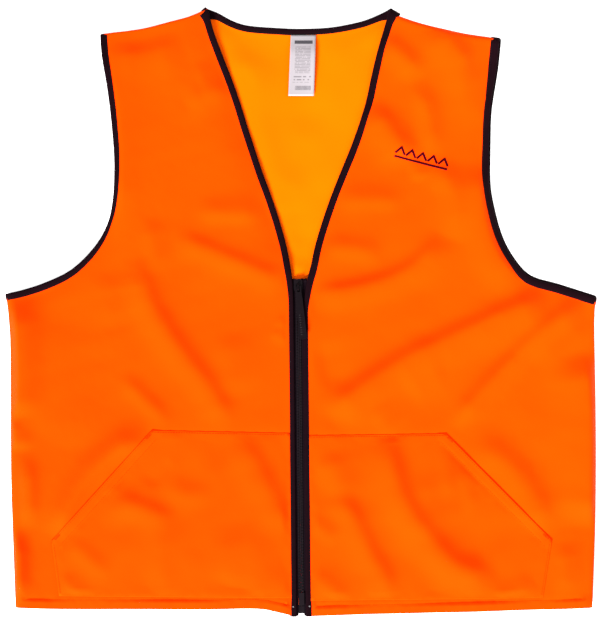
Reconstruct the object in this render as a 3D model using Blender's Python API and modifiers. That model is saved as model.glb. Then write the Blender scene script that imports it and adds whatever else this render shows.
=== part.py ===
"""Zip-front safety vest, laid flat with its front up.

World frame: metres, +Z up, the vest rests on z = 0. +Y runs from the hem to the
neck and +X to the wearer's left. Lengths below are in millimetres until a mesh
is made.
"""
import math

import bmesh
import bpy
from mathutils import Matrix, Vector

MM = 0.001

# ---------------------------------------------------------------- dimensions
CLOTH = 0.8            # thickness of the shell cloth
GAP = 0.3              # clearance between neighbouring pieces
Z_BACK = 1.2           # mid-plane of the back panel
Z_FRONT = 11.4         # mid-plane of the front panels
HEM_WIDTH = 11.0       # turned hem
BIND_WIDTH = 5.2       # width of the folded binding
BIND_HEIGHT = 2.4      # outer thickness of the folded binding
BIND_WEB = 0.6
BIND_LEG = 0.5
TURN_R = (Z_FRONT - Z_BACK) / 2.0      # radius of a layer turning from front to back
Z_MID = (Z_FRONT + Z_BACK) / 2.0
SEAM_INSET = TURN_R + CLOTH / 2.0      # silhouette to the centre of the seam roll
TURN_INSET = TURN_R + BIND_HEIGHT / 2.0

POCKET_BASE = Z_FRONT + CLOTH / 2.0 + GAP
POCKET_INNER = 4.5
POCKET_CLOTH = 0.8
POCKET_WALL = 2.4

ZIP_TOP = (-3.2, 33.2)       # where the zipper centre line meets the V-neck
ZIP_BOTTOM = (0.5, -325.3)
ZIP_EDGE = 5.0               # zipper centre to the bound front edge
TAPE_Z = 9.6
TAPE_THICK = 0.6
TAPE_IN, TAPE_OUT = 2.9, 13.0
TOOTH_PITCH = 3.0
TOOTH_LEN = 1.1
TOOTH_THICK = 2.4
TOOTH_HEAD = 0.7             # how far a tooth reaches past the centre line
SPINE_IN, SPINE_OUT = 1.5, 2.6
CHAIN_TOP = -2.2
TOOTH_COUNT = 110
SLIDER_Y = -4.3
SLIDER_LEN = 13.0
SLIDER_HALF = 4.6
PLATE_THICK = 1.0
CROWN_Y = -6.4
CROWN_R = 0.7
TAB_AXIS_Z = 13.2
TAB_TILT = 3.5               # degrees, the tab's end stands off the chain
TAB_END = -62.5
TAB_LEAN = 5.0               # degrees, the tab hangs towards the wearer's left
BOX_TOP = -333.6
BOX_BOTTOM = -347.2

FOLD_DROP = 15.0             # how far below the shoulder the front's fold line starts
FOLD_FOOT = 8.6              # its distance from the side edge at the hem

# The vest's outline as it lies. Points run down each edge; "r" is the wearer's right.
SHIFT = (-0.126, -0.307)
ARMHOLE = {
    "r": [(-215, 297.5), (-213, 274), (-207.5, 242), (-203.5, 212), (-200, 173),
          (-199.5, 148), (-201, 122), (-206.5, 96), (-220.5, 70.5), (-245, 46),
          (-273, 32), (-298.5, 23.5), (-316.5, 19.5)],
    "l": [(212.5, 293), (209.5, 263), (205.5, 237.5), (202, 212), (201, 173),
          (201, 139), (204.5, 115.5), (213, 83.5), (226, 58), (245, 38),
          (275, 29), (298.5, 21.5), (316.5, 15)],
}
SIDE = {
    "r": [(-316.5, 19.5), (-313.5, -6), (-311.5, -45), (-311, -169), (-308.5, -250),
          (-306, -316.5)],
    "l": [(316.5, 15), (314.5, -11), (314.5, -94), (315.5, -169), (315, -240),
          (312.5, -316.5)],
}
V_MEETS = {"r": 25.0, "l": 33.0}     # how far down the zipper each V edge runs straight
V_EDGE = {
    "r": [(-99.5, 324), (-94, 302), (-84.5, 276), (-74.5, 250.5), (-65.5, 225),
          (-57.5, 199), (-49, 173), (-40.5, 147.5), (-31, 122), (-22.5, 96),
          (-15.5, 70.5), (-11.5, 50), (-9.5, 36), (-8.5, 22)],
    "l": [(95, 323.5), (88.5, 302), (81, 276), (75, 250.5), (69.5, 225),
          (61.5, 199), (52, 173), (41.5, 147.5), (31.5, 122), (22.5, 96),
          (15, 70.5), (10.6, 50), (7.0, 36), (4.5, 22)],
}
SHOULDER = {
    "r": [(-100.5, 325.5), (-119, 317), (-141, 311), (-173, 303), (-215, 298)],
    "l": [(94, 324), (102, 318.5), (126, 310), (158, 302), (180, 297.5), (213, 293)],
}
HEM = {
    "r": [(-306, -316.5), (-255.5, -318), (-178.5, -318), (-102.5, -318.3),
          (-48, -317.5), (-25.5, -321), (-9.5, -325)],
    "l": [(312.5, -316.5), (278, -318), (241, -319), (174.5, -321), (109, -322.5),
          (52.5, -324), (10.5, -325.6)],
}
BACK_NECK = [(-101.5, 325.5), (-89, 321), (-74, 312.5), (-56.5, 306), (-24.5, 303.3),
             (-1, 302.6), (31, 304.5), (59, 310.3), (75, 315.7), (94, 324)]
BACK_HEM = [(-306, -316), (-150, -317.5), (0, -318), (150, -318), (312.5, -316)]
BACK_PEEK = {"r": 0.0, "l": 2.2}   # the back armhole stands out past the front one
POCKET = {   # top outer, top inner, bottom inner, bottom outer, mouth foot
    "r": [(-159.5, -126.5), (-14.5, -129.5), (-11, -306), (-259, -304), (-267, -245)],
    "l": [(155, -130), (11, -132), (13, -309), (259, -306), (268.5, -244)],
}
LABEL = [(-10.9, 296.6), (16.0, 296.6), (13.9, 231.8), (-13.6, 231.8)]
EMBLEM = [(100.5, 172.5), (158.0, 157.5)]     # centre line of the chest motif
EMBLEM_HALF = 5.0

ORANGE = (1.0, 0.095, 0.002)
AMBER = (1.0, 0.31, 0.002)
BLACK = (0.018, 0.012, 0.016)
JET = (0.010, 0.009, 0.011)
MAROON = (0.16, 0.01, 0.012)
WHITE = (0.78, 0.76, 0.79)


# ---------------------------------------------------------------- plane geometry
def smooth(points, n=3):
    """A Catmull-Rom line through the points, n steps to a span."""
    p = [Vector(q) for q in points]
    p = [p[0] * 2 - p[1]] + p + [p[-1] * 2 - p[-2]]
    out = []
    for i in range(1, len(p) - 2):
        for k in range(n):
            t = k / n
            out.append(0.5 * ((2 * p[i]) + (p[i + 1] - p[i - 1]) * t
                              + (2 * p[i - 1] - 5 * p[i] + 4 * p[i + 1] - p[i + 2]) * t * t
                              + (3 * p[i] - p[i - 1] - 3 * p[i + 1] + p[i + 2]) * t ** 3))
    return out + [p[-2].copy()]


def left_normal(a, b):
    d = (b - a).normalized()
    return Vector((-d.y, d.x))


def normals(line):
    out = []
    for i in range(len(line)):
        a, b = line[max(i - 1, 0)], line[min(i + 1, len(line) - 1)]
        out.append(left_normal(a, b))
    return out


def offset(line, d):
    """The line moved d to its left."""
    return [p + n * d for p, n in zip(line, normals(line))]


def cross_at(a, b, c, d):
    r, s = b - a, d - c
    den = r.x * s.y - r.y * s.x
    if abs(den) < 1e-12:
        return None
    t = ((c - a).x * s.y - (c - a).y * s.x) / den
    u = ((c - a).x * r.y - (c - a).y * r.x) / den
    if -1e-9 <= t <= 1 + 1e-9 and -1e-9 <= u <= 1 + 1e-9:
        return a + r * t
    return None


def extended(line, reach=25.0):
    a = line[0] + (line[0] - line[1]).normalized() * reach
    b = line[-1] + (line[-1] - line[-2]).normalized() * reach
    return [a] + line[1:-1] + [b]


def meet(first, second):
    """Trims first's end and second's start to where they cross."""
    f, s = extended(first), extended(second)
    for i in range(len(f) - 2, -1, -1):
        for j in range(len(s) - 1):
            hit = cross_at(f[i], f[i + 1], s[j], s[j + 1])
            if hit is not None:
                start = f[:i + 1]
                start[0] = first[0]
                rest = s[j + 1:]
                rest[-1] = second[-1]
                return start + [hit], [hit] + rest
    raise ValueError("edges do not meet")


def outline(*lines):
    """A closed polygon from edges in order, each cut where it crosses the next."""
    lines = [list(e) for e in lines]
    n = len(lines)
    for i in range(n):
        lines[i], lines[(i + 1) % n] = meet(lines[i], lines[(i + 1) % n])
    out = []
    for e in lines:
        for p in e:
            if not out or (p - out[-1]).length > 0.05:
                out.append(p)
    if (out[0] - out[-1]).length < 0.05:
        out.pop()
    return out


def half(poly, p, q, side, gap):
    """The part of a polygon on one side of the line p-q, gap away from it."""
    n = left_normal(p, q) * side
    out = []
    for i, a in enumerate(poly):
        b = poly[(i + 1) % len(poly)]
        da, db = (a - p).dot(n) - gap, (b - p).dot(n) - gap
        if da >= 0:
            out.append(a)
        if (da >= 0) != (db >= 0):
            out.append(a + (b - a) * (da / (da - db)))
    return out


def along(line, distance):
    """The point at a distance along a line."""
    for a, b in zip(line, line[1:]):
        step = (b - a).length
        if distance <= step:
            return a + (b - a) * (distance / step)
        distance -= step
    return line[-1]


def trimmed(line, start, end):
    total = sum((b - a).length for a, b in zip(line, line[1:]))
    out, run = [along(line, start)], 0.0
    for a, b in zip(line, line[1:]):
        run += (b - a).length
        if start + 0.4 < run < total - end - 0.4:
            out.append(b)
    return out + [along(line, total - end)]


# ---------------------------------------------------------------- meshes
for leftover in list(bpy.data.objects):
    bpy.data.objects.remove(leftover, do_unlink=True)

vest = bpy.data.collections.new("safety_vest")
tools = bpy.data.collections.new("cutters")
bpy.context.scene.collection.children.link(vest)
bpy.context.scene.collection.children.link(tools)


def material(name, colour, roughness, metallic=0.0):
    m = bpy.data.materials.new(name)
    m.use_nodes = True
    s = m.node_tree.nodes["Principled BSDF"]
    s.inputs["Base Color"].default_value = (*colour, 1.0)
    s.inputs["Roughness"].default_value = roughness
    s.inputs["Metallic"].default_value = metallic
    m.diffuse_color = (*colour, 1.0)
    return m


def place(obj, colour, roughness, metallic=0.0, parent=None):
    vest.objects.link(obj)
    obj.data.materials.append(material(obj.name + "_mat", colour, roughness, metallic))
    if parent is not None:
        obj.parent = parent
    return obj


def closed(mesh, weld=1e-6):
    bm = bmesh.new()
    bm.from_mesh(mesh)
    bmesh.ops.remove_doubles(bm, verts=bm.verts, dist=weld)
    bmesh.ops.recalc_face_normals(bm, faces=bm.faces)
    bm.to_mesh(mesh)
    bm.free()
    return mesh


def plate_mesh(name, poly, z0, z1):
    """A flat outline, filled and given its thickness. Drawn in millimetres, then scaled."""
    curve = bpy.data.curves.new(name + "_outline", "CURVE")
    curve.dimensions = "2D"
    curve.fill_mode = "BOTH"
    curve.extrude = (z1 - z0) / 2.0
    spline = curve.splines.new("POLY")
    spline.points.add(len(poly) - 1)
    for point, p in zip(spline.points, poly):
        point.co = (p[0], p[1], 0.0, 1.0)
    spline.use_cyclic_u = True
    guide = bpy.data.objects.new(name + "_outline", curve)
    tools.objects.link(guide)
    deps = bpy.context.evaluated_depsgraph_get()
    mesh = bpy.data.meshes.new_from_object(guide.evaluated_get(deps))
    mesh.name = name
    mesh.transform(Matrix.Scale(MM, 4) @ Matrix.Translation((0, 0, (z0 + z1) / 2.0)))
    bpy.data.objects.remove(guide, do_unlink=True)
    return closed(mesh)


def comb_mesh(name, poly, z0, z1):
    """A long toothed outline as one face, extruded."""
    mesh = bpy.data.meshes.new(name)
    bm = bmesh.new()
    face = bm.faces.new([bm.verts.new((x * MM, y * MM, z0 * MM)) for x, y in poly])
    grown = bmesh.ops.extrude_face_region(bm, geom=[face])
    bmesh.ops.translate(bm, vec=(0, 0, (z1 - z0) * MM),
                        verts=[e for e in grown["geom"] if isinstance(e, bmesh.types.BMVert)])
    bmesh.ops.recalc_face_normals(bm, faces=bm.faces)
    bm.to_mesh(mesh)
    bm.free()
    return mesh


def plate(name, poly, z0, z1, colour, roughness, parent=None):
    return place(bpy.data.objects.new(name, plate_mesh(name, poly, z0, z1)),
                 colour, roughness, parent=parent)


def block_mesh(name, low, high):
    mesh = bpy.data.meshes.new(name)
    bm = bmesh.new()
    bmesh.ops.create_cube(bm, size=1.0)
    for v in bm.verts:
        v.co = Vector([(lo + (hi - lo) * (c + 0.5)) * MM
                       for lo, hi, c in zip(low, high, v.co)])
    bm.to_mesh(mesh)
    bm.free()
    return mesh


def cutter(name, mesh, parent=None):
    obj = bpy.data.objects.new(name, mesh)
    tools.objects.link(obj)
    obj.hide_render = True
    obj.display_type = "WIRE"
    if parent is not None:
        obj.parent = parent
    return obj


def combine(obj, other, operation):
    mod = obj.modifiers.new(other.name, "BOOLEAN")
    mod.object = other
    mod.operation = operation
    mod.solver = "EXACT"


def bevelled(obj, width, segments=2):
    mod = obj.modifiers.new("edges", "BEVEL")
    mod.width = width * MM
    mod.segments = segments
    mod.limit_method = "ANGLE"
    mod.angle_limit = math.radians(40)


def loft(name, stations, section, loop, colour, roughness, parent=None, smooth_angle=35):
    """A strip whose section (a inward, b outward) rides along the stations (p, d, n)."""
    mesh = bpy.data.meshes.new(name)
    bm = bmesh.new()
    rings = [[bm.verts.new((p + d * a + n * b) * MM) for a, b in section]
             for p, d, n in stations]
    count = len(rings)
    for i in range(count if loop else count - 1):
        one, two = rings[i], rings[(i + 1) % count]
        for k in range(len(section)):
            k2 = (k + 1) % len(section)
            bm.faces.new((one[k], one[k2], two[k2], two[k]))
    if not loop:
        bm.faces.new(rings[0])
        bm.faces.new(list(reversed(rings[-1])))
    bmesh.ops.recalc_face_normals(bm, faces=bm.faces)
    bm.to_mesh(mesh)
    bm.free()
    mesh.shade_smooth()
    mesh.set_sharp_from_angle(angle=math.radians(smooth_angle))
    return place(bpy.data.objects.new(name, mesh), colour, roughness, parent=parent)


H2, B_IN, B_OUT = BIND_HEIGHT / 2.0, BIND_WEB, BIND_WIDTH
FOLDED = [(0, -H2), (B_OUT, -H2), (B_OUT, -H2 + BIND_LEG), (B_IN, -H2 + BIND_LEG),
          (B_IN, H2 - BIND_LEG), (B_OUT, H2 - BIND_LEG), (B_OUT, H2), (0, H2)]


def vec3(p, z):
    return Vector((p[0], p[1], z))


def flat_stations(line, z, up, side):
    """Stations along a flat edge; side +1 where the cloth is on the line's left."""
    return [(vec3(p, z), vec3(n * side, 0.0), Vector((0, 0, up)))
            for p, n in zip(line, normals(line))]


def turn(a, b, inward, out, steps=6):
    """The half turn of an edge from the front layer (a) over to the back layer (b).

    The strip lies across the seam that it turns over, so inward runs along that seam.
    """
    made = []
    d = vec3(inward, 0.0)
    for i in range(steps + 1):
        f = math.pi * i / steps
        p = a.lerp(b, (1 - math.cos(f)) / 2) + out * (TURN_R * math.sin(f))
        n = Vector((out.x * math.sin(f), out.y * math.sin(f), math.cos(f)))
        made.append((vec3(p, Z_MID + TURN_R * math.cos(f)), d, n))
    return made


def moved(points):
    return [(x + SHIFT[0], y + SHIFT[1]) for x, y in points]


# Edges as smooth lines, all running counter-clockwise round the garment seen from above.
arm = {"r": smooth(moved(ARMHOLE["r"])), "l": smooth(moved(ARMHOLE["l"]))[::-1]}
side = {"r": smooth(moved(SIDE["r"]), 2), "l": smooth(moved(SIDE["l"]), 2)[::-1]}
shoulder = {"r": smooth(moved(SHOULDER["r"]), 2), "l": smooth(moved(SHOULDER["l"]), 2)[::-1]}
hem = {"r": smooth(moved(HEM["r"]), 2), "l": smooth(moved(HEM["l"]), 2)[::-1]}
back_neck = smooth(moved(BACK_NECK))[::-1]
back_hem = smooth(moved(BACK_HEM), 2)
zt, zb = Vector(moved([ZIP_TOP])[0]), Vector(moved([ZIP_BOTTOM])[0])
zip_down = (zb - zt).normalized()
zip_right = Vector((-zip_down.y, zip_down.x))
zip_length = (zb - zt).length
front_edge = {}
for s, sign in (("r", -1), ("l", 1)):
    zip_part = [zt + zip_down * d + zip_right * (ZIP_EDGE * sign)
                for d in (V_MEETS[s], 60, 120, 180, 240, 300, zip_length + 0.6)]
    front_edge[s] = smooth(moved(V_EDGE[s]) + [tuple(zip_part[0])], 3)[:-1] + zip_part

fold = {}
for s, sign in (("r", -1), ("l", 1)):
    top = along(front_edge[s], FOLD_DROP)
    foot = Vector(moved([SIDE[s][-1]])[0]) + Vector((-sign * FOLD_FOOT, -2.0))
    fold[s] = (top, foot)

# ---------------------------------------------------------------- shell panels
EDGE_IN = BIND_WEB + GAP
SEWN_IN = SEAM_INSET + 1.1


def back_edge(s):
    return offset(arm[s], -BACK_PEEK[s])


back_poly = outline(
    offset(back_hem, 0.2), offset(side["l"], SEWN_IN), offset(back_edge("l"), EDGE_IN),
    offset(shoulder["l"], SEWN_IN), offset(back_neck, EDGE_IN),
    offset(shoulder["r"], SEWN_IN), offset(back_edge("r"), EDGE_IN),
    offset(side["r"], SEWN_IN))
hem_poly = outline(
    offset(back_hem, 0.4), offset(side["l"], SEWN_IN + 0.2),
    offset(back_hem, HEM_WIDTH)[::-1], offset(side["r"], SEWN_IN + 0.2))
back = bpy.data.objects.new(
    "back_panel", plate_mesh("back_panel", back_poly, Z_BACK - CLOTH / 2, Z_BACK + CLOTH / 2))
place(back, AMBER, 0.8)
combine(back, cutter("back_hem_fold", plate_mesh("back_hem_fold", hem_poly, 0.0, 2 * Z_BACK)),
        "UNION")

for s, word in (("r", "right"), ("l", "left")):
    if s == "r":
        edges = [offset(hem[s], 0.2), offset(front_edge[s][::-1], EDGE_IN),
                 offset(shoulder[s], SEWN_IN), offset(arm[s], EDGE_IN), offset(side[s], SEWN_IN)]
    else:
        edges = [offset(hem[s], 0.2), offset(side[s], SEWN_IN), offset(arm[s], EDGE_IN),
                 offset(shoulder[s], SEWN_IN), offset(front_edge[s], EDGE_IN)]
    poly = outline(*edges)
    top, foot = fold[s]
    inward = 1 if s == "r" else -1      # the centre front is left of top-to-foot on the right side
    plate(word + "_front_panel", half(poly, top, foot, inward, 0.3),
          Z_FRONT - CLOTH / 2, Z_FRONT + CLOTH / 2, ORANGE, 0.8)
    plate(word + "_front_side", half(poly, top, foot, -inward, 0.3),
          Z_FRONT - CLOTH / 2, Z_FRONT + CLOTH / 2, ORANGE, 0.8)

# ---------------------------------------------------------------- rolled seams
R_OUT, R_INN = TURN_R + CLOTH / 2, TURN_R - CLOTH / 2
ROLL = ([(R_OUT * math.cos(a), R_OUT * math.sin(a))
         for a in [math.radians(-90 + 22.5 * k) for k in range(9)]]
        + [(R_INN * math.cos(a), R_INN * math.sin(a))
           for a in [math.radians(90 - 22.5 * k) for k in range(9)]])


def rolled(name, line):
    centre = offset(line, SEAM_INSET)
    stations = [(vec3(p, Z_MID), vec3(-n, 0.0), Vector((0, 0, 1)))
                for p, n in zip(centre, normals(centre))]
    loft(name, stations, ROLL, False, ORANGE, 0.8)


rolled("right_side_seam", trimmed(side["r"], 7.2, 0.3))
rolled("left_side_seam", trimmed(side["l"], 0.3, 7.2))
rolled("right_shoulder_seam", trimmed(shoulder["r"], 9.5, 7.4))
rolled("left_shoulder_seam", trimmed(shoulder["l"], 7.4, 9.5))

# ---------------------------------------------------------------- bindings


def end_frame(line, at_start):
    """At a seam's end: the direction into the seam, and the one out of the garment."""
    a, b = (line[0], line[1]) if at_start else (line[-2], line[-1])
    into = (b - a).normalized() if at_start else (a - b).normalized()
    return into, -left_normal(a, b)


for s, word in (("r", "right"), ("l", "left")):
    front_line, back_line = arm[s], back_edge(s)
    seams = (shoulder["r"], side["r"]) if s == "r" else (side["l"], shoulder["l"])
    cuts = [offset(e, TURN_INSET) for e in seams]
    lines = []
    for line in (front_line, back_line):
        _, line = meet(cuts[0], line)
        line, _ = meet(line, cuts[1])
        lines.append(line)
    f, b = lines
    stations = flat_stations(trimmed(f, 1.5, 1.5), Z_FRONT, 1, 1)
    stations += turn(f[-1], b[-1], *end_frame(seams[1], True))
    stations += flat_stations(trimmed(b, 1.5, 1.5), Z_BACK, -1, 1)[::-1]
    stations += turn(f[0], b[0], *end_frame(seams[0], False))[::-1]
    loft(word + "_armhole_binding", stations, FOLDED, True, BLACK, 0.7)

# The neck binding goes round the back neck and over both shoulders.
neck_line = list(back_neck)
_, neck_line = meet(offset(shoulder["l"], TURN_INSET), neck_line)
neck_line, _ = meet(neck_line, offset(shoulder["r"], TURN_INSET))
ends = {}
for s in ("r", "l"):
    run = [along(front_edge[s], 0.0), along(front_edge[s], FOLD_DROP - 1.0)]
    cut = offset(shoulder[s], TURN_INSET)
    if s == "r":
        cut = cut[::-1]
    best = None
    c = extended(cut)
    for i in range(len(c) - 1):
        best = cross_at(run[0], run[1], c[i], c[i + 1]) or best
    ends[s] = [best, run[1]]
up = Vector((0, 0, 1))
stations = []
left_normal_in = -left_normal(ends["l"][1], ends["l"][0])
right_normal_in = -left_normal(ends["r"][0], ends["r"][1])
stations = [(vec3(ends["l"][1], Z_FRONT), vec3(left_normal_in, 0), up),
            (vec3(ends["l"][0].lerp(ends["l"][1], 0.2), Z_FRONT), vec3(left_normal_in, 0), up)]
stations += turn(ends["l"][0], neck_line[0], *end_frame(shoulder["l"], False))
stations += flat_stations(trimmed(neck_line, 3.0, 3.0), Z_BACK, -1, 1)
stations += turn(ends["r"][0], neck_line[-1], *end_frame(shoulder["r"], True))[::-1]
stations += [(vec3(ends["r"][0].lerp(ends["r"][1], 0.2), Z_FRONT), vec3(right_normal_in, 0), up),
             (vec3(ends["r"][1], Z_FRONT), vec3(right_normal_in, 0), up)]
loft("neck_binding", stations, FOLDED, False, BLACK, 0.7)

for s, word, sign in (("r", "right", -1), ("l", "left", 1)):
    line = trimmed(front_edge[s], FOLD_DROP + 9.5, 0.0)
    loft(word + "_front_binding", flat_stations(line, Z_FRONT, 1, sign), FOLDED, False,
         BLACK, 0.7)

# ---------------------------------------------------------------- pockets
for s, word, sign in (("r", "right", -1), ("l", "left", 1)):
    to, ti, bi, bo, mf = [Vector(p) for p in moved(POCKET[s])]
    edge = [zt + zip_down * d + zip_right * (sign * (ZIP_EDGE + BIND_WIDTH + 0.5))
            for d in (140.0, 360.0)]
    ring = [[to, ti], edge, [bi, bo], [bo, mf], [mf, to]]
    if s == "l":
        ring = [[b, a] for a, b in ring[::-1]]
        mouth, sewn = 0, (1, 2, 3, 4)
    else:
        ring[2] = [bi, bo]
        mouth, sewn = 4, (0, 1, 2, 3)
    # right pocket: top runs to +X, so the ring is clockwise and the inside is on its right
    turned = -1 if s == "r" else 1
    outer = outline(*ring)
    inner = outline(*[offset(e, turned * (POCKET_WALL if i in sewn else -6.0))
                      for i, e in enumerate(ring)])
    z_top = POCKET_BASE + POCKET_INNER + POCKET_CLOTH
    pocket = bpy.data.objects.new(word + "_pocket",
                                  plate_mesh(word + "_pocket", outer, POCKET_BASE, z_top))
    place(pocket, ORANGE, 0.8)
    combine(pocket, cutter(word + "_pocket_room",
                           plate_mesh(word + "_pocket_room", inner, POCKET_BASE - 1.0,
                                      z_top - POCKET_CLOTH)), "DIFFERENCE")
    # thread bars at both ends of the mouth
    for tag, at, to_ in (("upper", to, mf), ("lower", mf, to)):
        d = (to_ - at).normalized()
        n = Vector((-d.y, d.x))
        if n.dot(bi - at) < 0:
            n = -n
        mid = at + d * 7.5 + n * 1.8
        bar = [mid + d * a + n * b for a, b in ((-4, -1), (4, -1), (4, 1), (-4, 1))]
        plate("%s_pocket_%s_bartack" % (word, tag), bar, z_top + GAP, z_top + GAP + 0.5,
              ORANGE, 0.6)

# ---------------------------------------------------------------- zipper
zip_frame = bpy.data.objects.new("zip_frame", None)
vest.objects.link(zip_frame)
zip_frame.location = (zt.x * MM, zt.y * MM, 0.0)
zip_frame.rotation_euler = (0.0, 0.0, math.atan2(zip_right.y, zip_right.x))

chain_end = CHAIN_TOP - TOOTH_PITCH * TOOTH_COUNT
for s, word, sign in (("r", "right", -1), ("l", "left", 1)):
    tape = [(sign * TAPE_IN, -1.5), (sign * TAPE_OUT, -1.5), (sign * TAPE_OUT, -zip_length),
            (sign * TAPE_IN, -zip_length)]
    plate(word + "_zipper_tape", tape, TAPE_Z - TAPE_THICK / 2, TAPE_Z + TAPE_THICK / 2,
          BLACK, 0.8, parent=zip_frame)
    comb = [(sign * SPINE_OUT, CHAIN_TOP)]
    shift = 0.0 if s == "r" else TOOTH_PITCH / 2
    y = CHAIN_TOP - shift
    comb.append((sign * SPINE_IN, CHAIN_TOP))
    for k in range(TOOTH_COUNT - (0 if s == "r" else 1)):
        y0 = CHAIN_TOP - shift - 0.2 - TOOTH_PITCH * k
        comb += [(sign * SPINE_IN, y0), (-sign * TOOTH_HEAD, y0),
                 (-sign * TOOTH_HEAD, y0 - TOOTH_LEN), (sign * SPINE_IN, y0 - TOOTH_LEN)]
    comb += [(sign * SPINE_IN, chain_end), (sign * SPINE_OUT, chain_end)]
    place(bpy.data.objects.new(word + "_zipper_teeth", comb_mesh(
        word + "_zipper_teeth", comb, TAPE_Z - TOOTH_THICK / 2, TAPE_Z + TOOTH_THICK / 2)),
        JET, 0.4, parent=zip_frame)
    stop = [(sign * 1.45, -1.8), (sign * 2.6, -1.8), (sign * 2.6, 1.0), (sign * 1.45, 1.0)]
    plate(word + "_top_stop", stop, TAPE_Z - 1.2, TAPE_Z + 1.2, JET, 0.4, parent=zip_frame)

# Slider: two plates round the chain, slots for the tapes, a wedge that parts the rows.
lo_z = TAPE_Z - TOOTH_THICK / 2 - GAP - PLATE_THICK
hi_z = TAPE_Z + TOOTH_THICK / 2 + GAP + PLATE_THICK
s_low, s_high = SLIDER_Y - SLIDER_LEN / 2, SLIDER_Y + SLIDER_LEN / 2
body_line = [(-SLIDER_HALF + 0.9, s_low), (SLIDER_HALF - 0.9, s_low), (SLIDER_HALF, s_low + 2.5),
             (SLIDER_HALF, s_high - 2.0), (SLIDER_HALF - 1.2, s_high), (-SLIDER_HALF + 1.2, s_high),
             (-SLIDER_HALF, s_high - 2.0), (-SLIDER_HALF, s_low + 2.5)]
slider = bpy.data.objects.new("slider_body", plate_mesh("slider_body", body_line, lo_z, hi_z))
place(slider, JET, 0.35, parent=zip_frame)
combine(slider, cutter("slider_channel", block_mesh(
    "slider_channel", (-3.3, s_low - 3, lo_z + PLATE_THICK),
    (3.3, s_high + 3, hi_z - PLATE_THICK)), zip_frame), "DIFFERENCE")
combine(slider, cutter("slider_slots", block_mesh(
    "slider_slots", (-8, s_low - 3, TAPE_Z - 0.7), (8, s_high + 3, TAPE_Z + 0.7)), zip_frame),
    "DIFFERENCE")
combine(slider, cutter("slider_wedge", plate_mesh(
    "slider_wedge", [(-0.3, -1.9), (0.3, -1.9), (1.0, -0.2), (0.8, 1.2), (-0.8, 1.2),
                     (-1.0, -0.2)], lo_z + 0.5, hi_z - 0.5), zip_frame), "UNION")

# Crown: a bowed bar over the slider that holds the pull tab's crossbar.
crown_curve = bpy.data.curves.new("crown_line", "CURVE")
crown_curve.dimensions = "3D"
crown_curve.bevel_depth = CROWN_R * MM
crown_curve.bevel_resolution = 2
crown_curve.use_fill_caps = True
base_z = hi_z + GAP
reach, rise = 3.6, TAB_AXIS_Z + 0.7 + GAP + CROWN_R + 0.1 - base_z
bow = crown_curve.splines.new("POLY")
bow_points = [(reach * math.cos(math.pi * k / 10), base_z + rise * min(1.0, 1.25 * math.sin(math.pi * k / 10)))
              for k in range(11)]
bow.points.add(len(bow_points) - 1)
for point, (dy, z) in zip(bow.points, bow_points):
    point.co = (0.0, (CROWN_Y + dy) * MM, z * MM, 1.0)
crown_guide = bpy.data.objects.new("crown_line", crown_curve)
tools.objects.link(crown_guide)
crown_mesh = bpy.data.meshes.new_from_object(
    crown_guide.evaluated_get(bpy.context.evaluated_depsgraph_get()))
bpy.data.objects.remove(crown_guide, do_unlink=True)
crown_mesh.name = "slider_crown"
crown_mesh.shade_smooth()
crown = place(bpy.data.objects.new("slider_crown", closed(crown_mesh)), JET, 0.3,
              parent=zip_frame)

# Pull tab: crossbar through the crown, two arms, a grip plate. Its origin is on its hinge.
tab_pivot = bpy.data.objects.new("tab_pivot", None)
vest.objects.link(tab_pivot)
tab_pivot.parent = zip_frame
tab_pivot.location = (0.0, CROWN_Y * MM, TAB_AXIS_Z * MM)
tab_pivot.rotation_euler = (math.radians(-TAB_TILT), 0.0, math.radians(TAB_LEAN))
end = TAB_END - CROWN_Y
grip = [(-2.9, 0.7), (-1.5, 0.7), (-1.5, -5.6), (1.5, -5.6), (1.5, 0.7), (2.9, 0.7),
        (3.1, -8.0), (3.5, -14.0), (4.2, end + 3.0), (3.6, end + 0.8), (2.4, end), (-2.4, end),
        (-3.6, end + 0.8), (-4.2, end + 3.0), (-3.5, -14.0), (-3.1, -8.0)]
tab = bpy.data.objects.new("pull_tab", plate_mesh("pull_tab", grip, -0.7, 0.7))
place(tab, JET, 0.4, parent=tab_pivot)
bar_mesh = bpy.data.meshes.new("tab_crossbar")
bm = bmesh.new()
bmesh.ops.create_cone(bm, cap_ends=True, segments=10, radius1=0.62 * MM, radius2=0.62 * MM,
                      depth=4.6 * MM)
bmesh.ops.rotate(bm, verts=bm.verts, cent=(0, 0, 0), matrix=Matrix.Rotation(math.pi / 2, 3, "Y"))
bm.to_mesh(bar_mesh)
bm.free()
combine(tab, cutter("tab_crossbar", bar_mesh, tab_pivot), "UNION")

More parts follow.
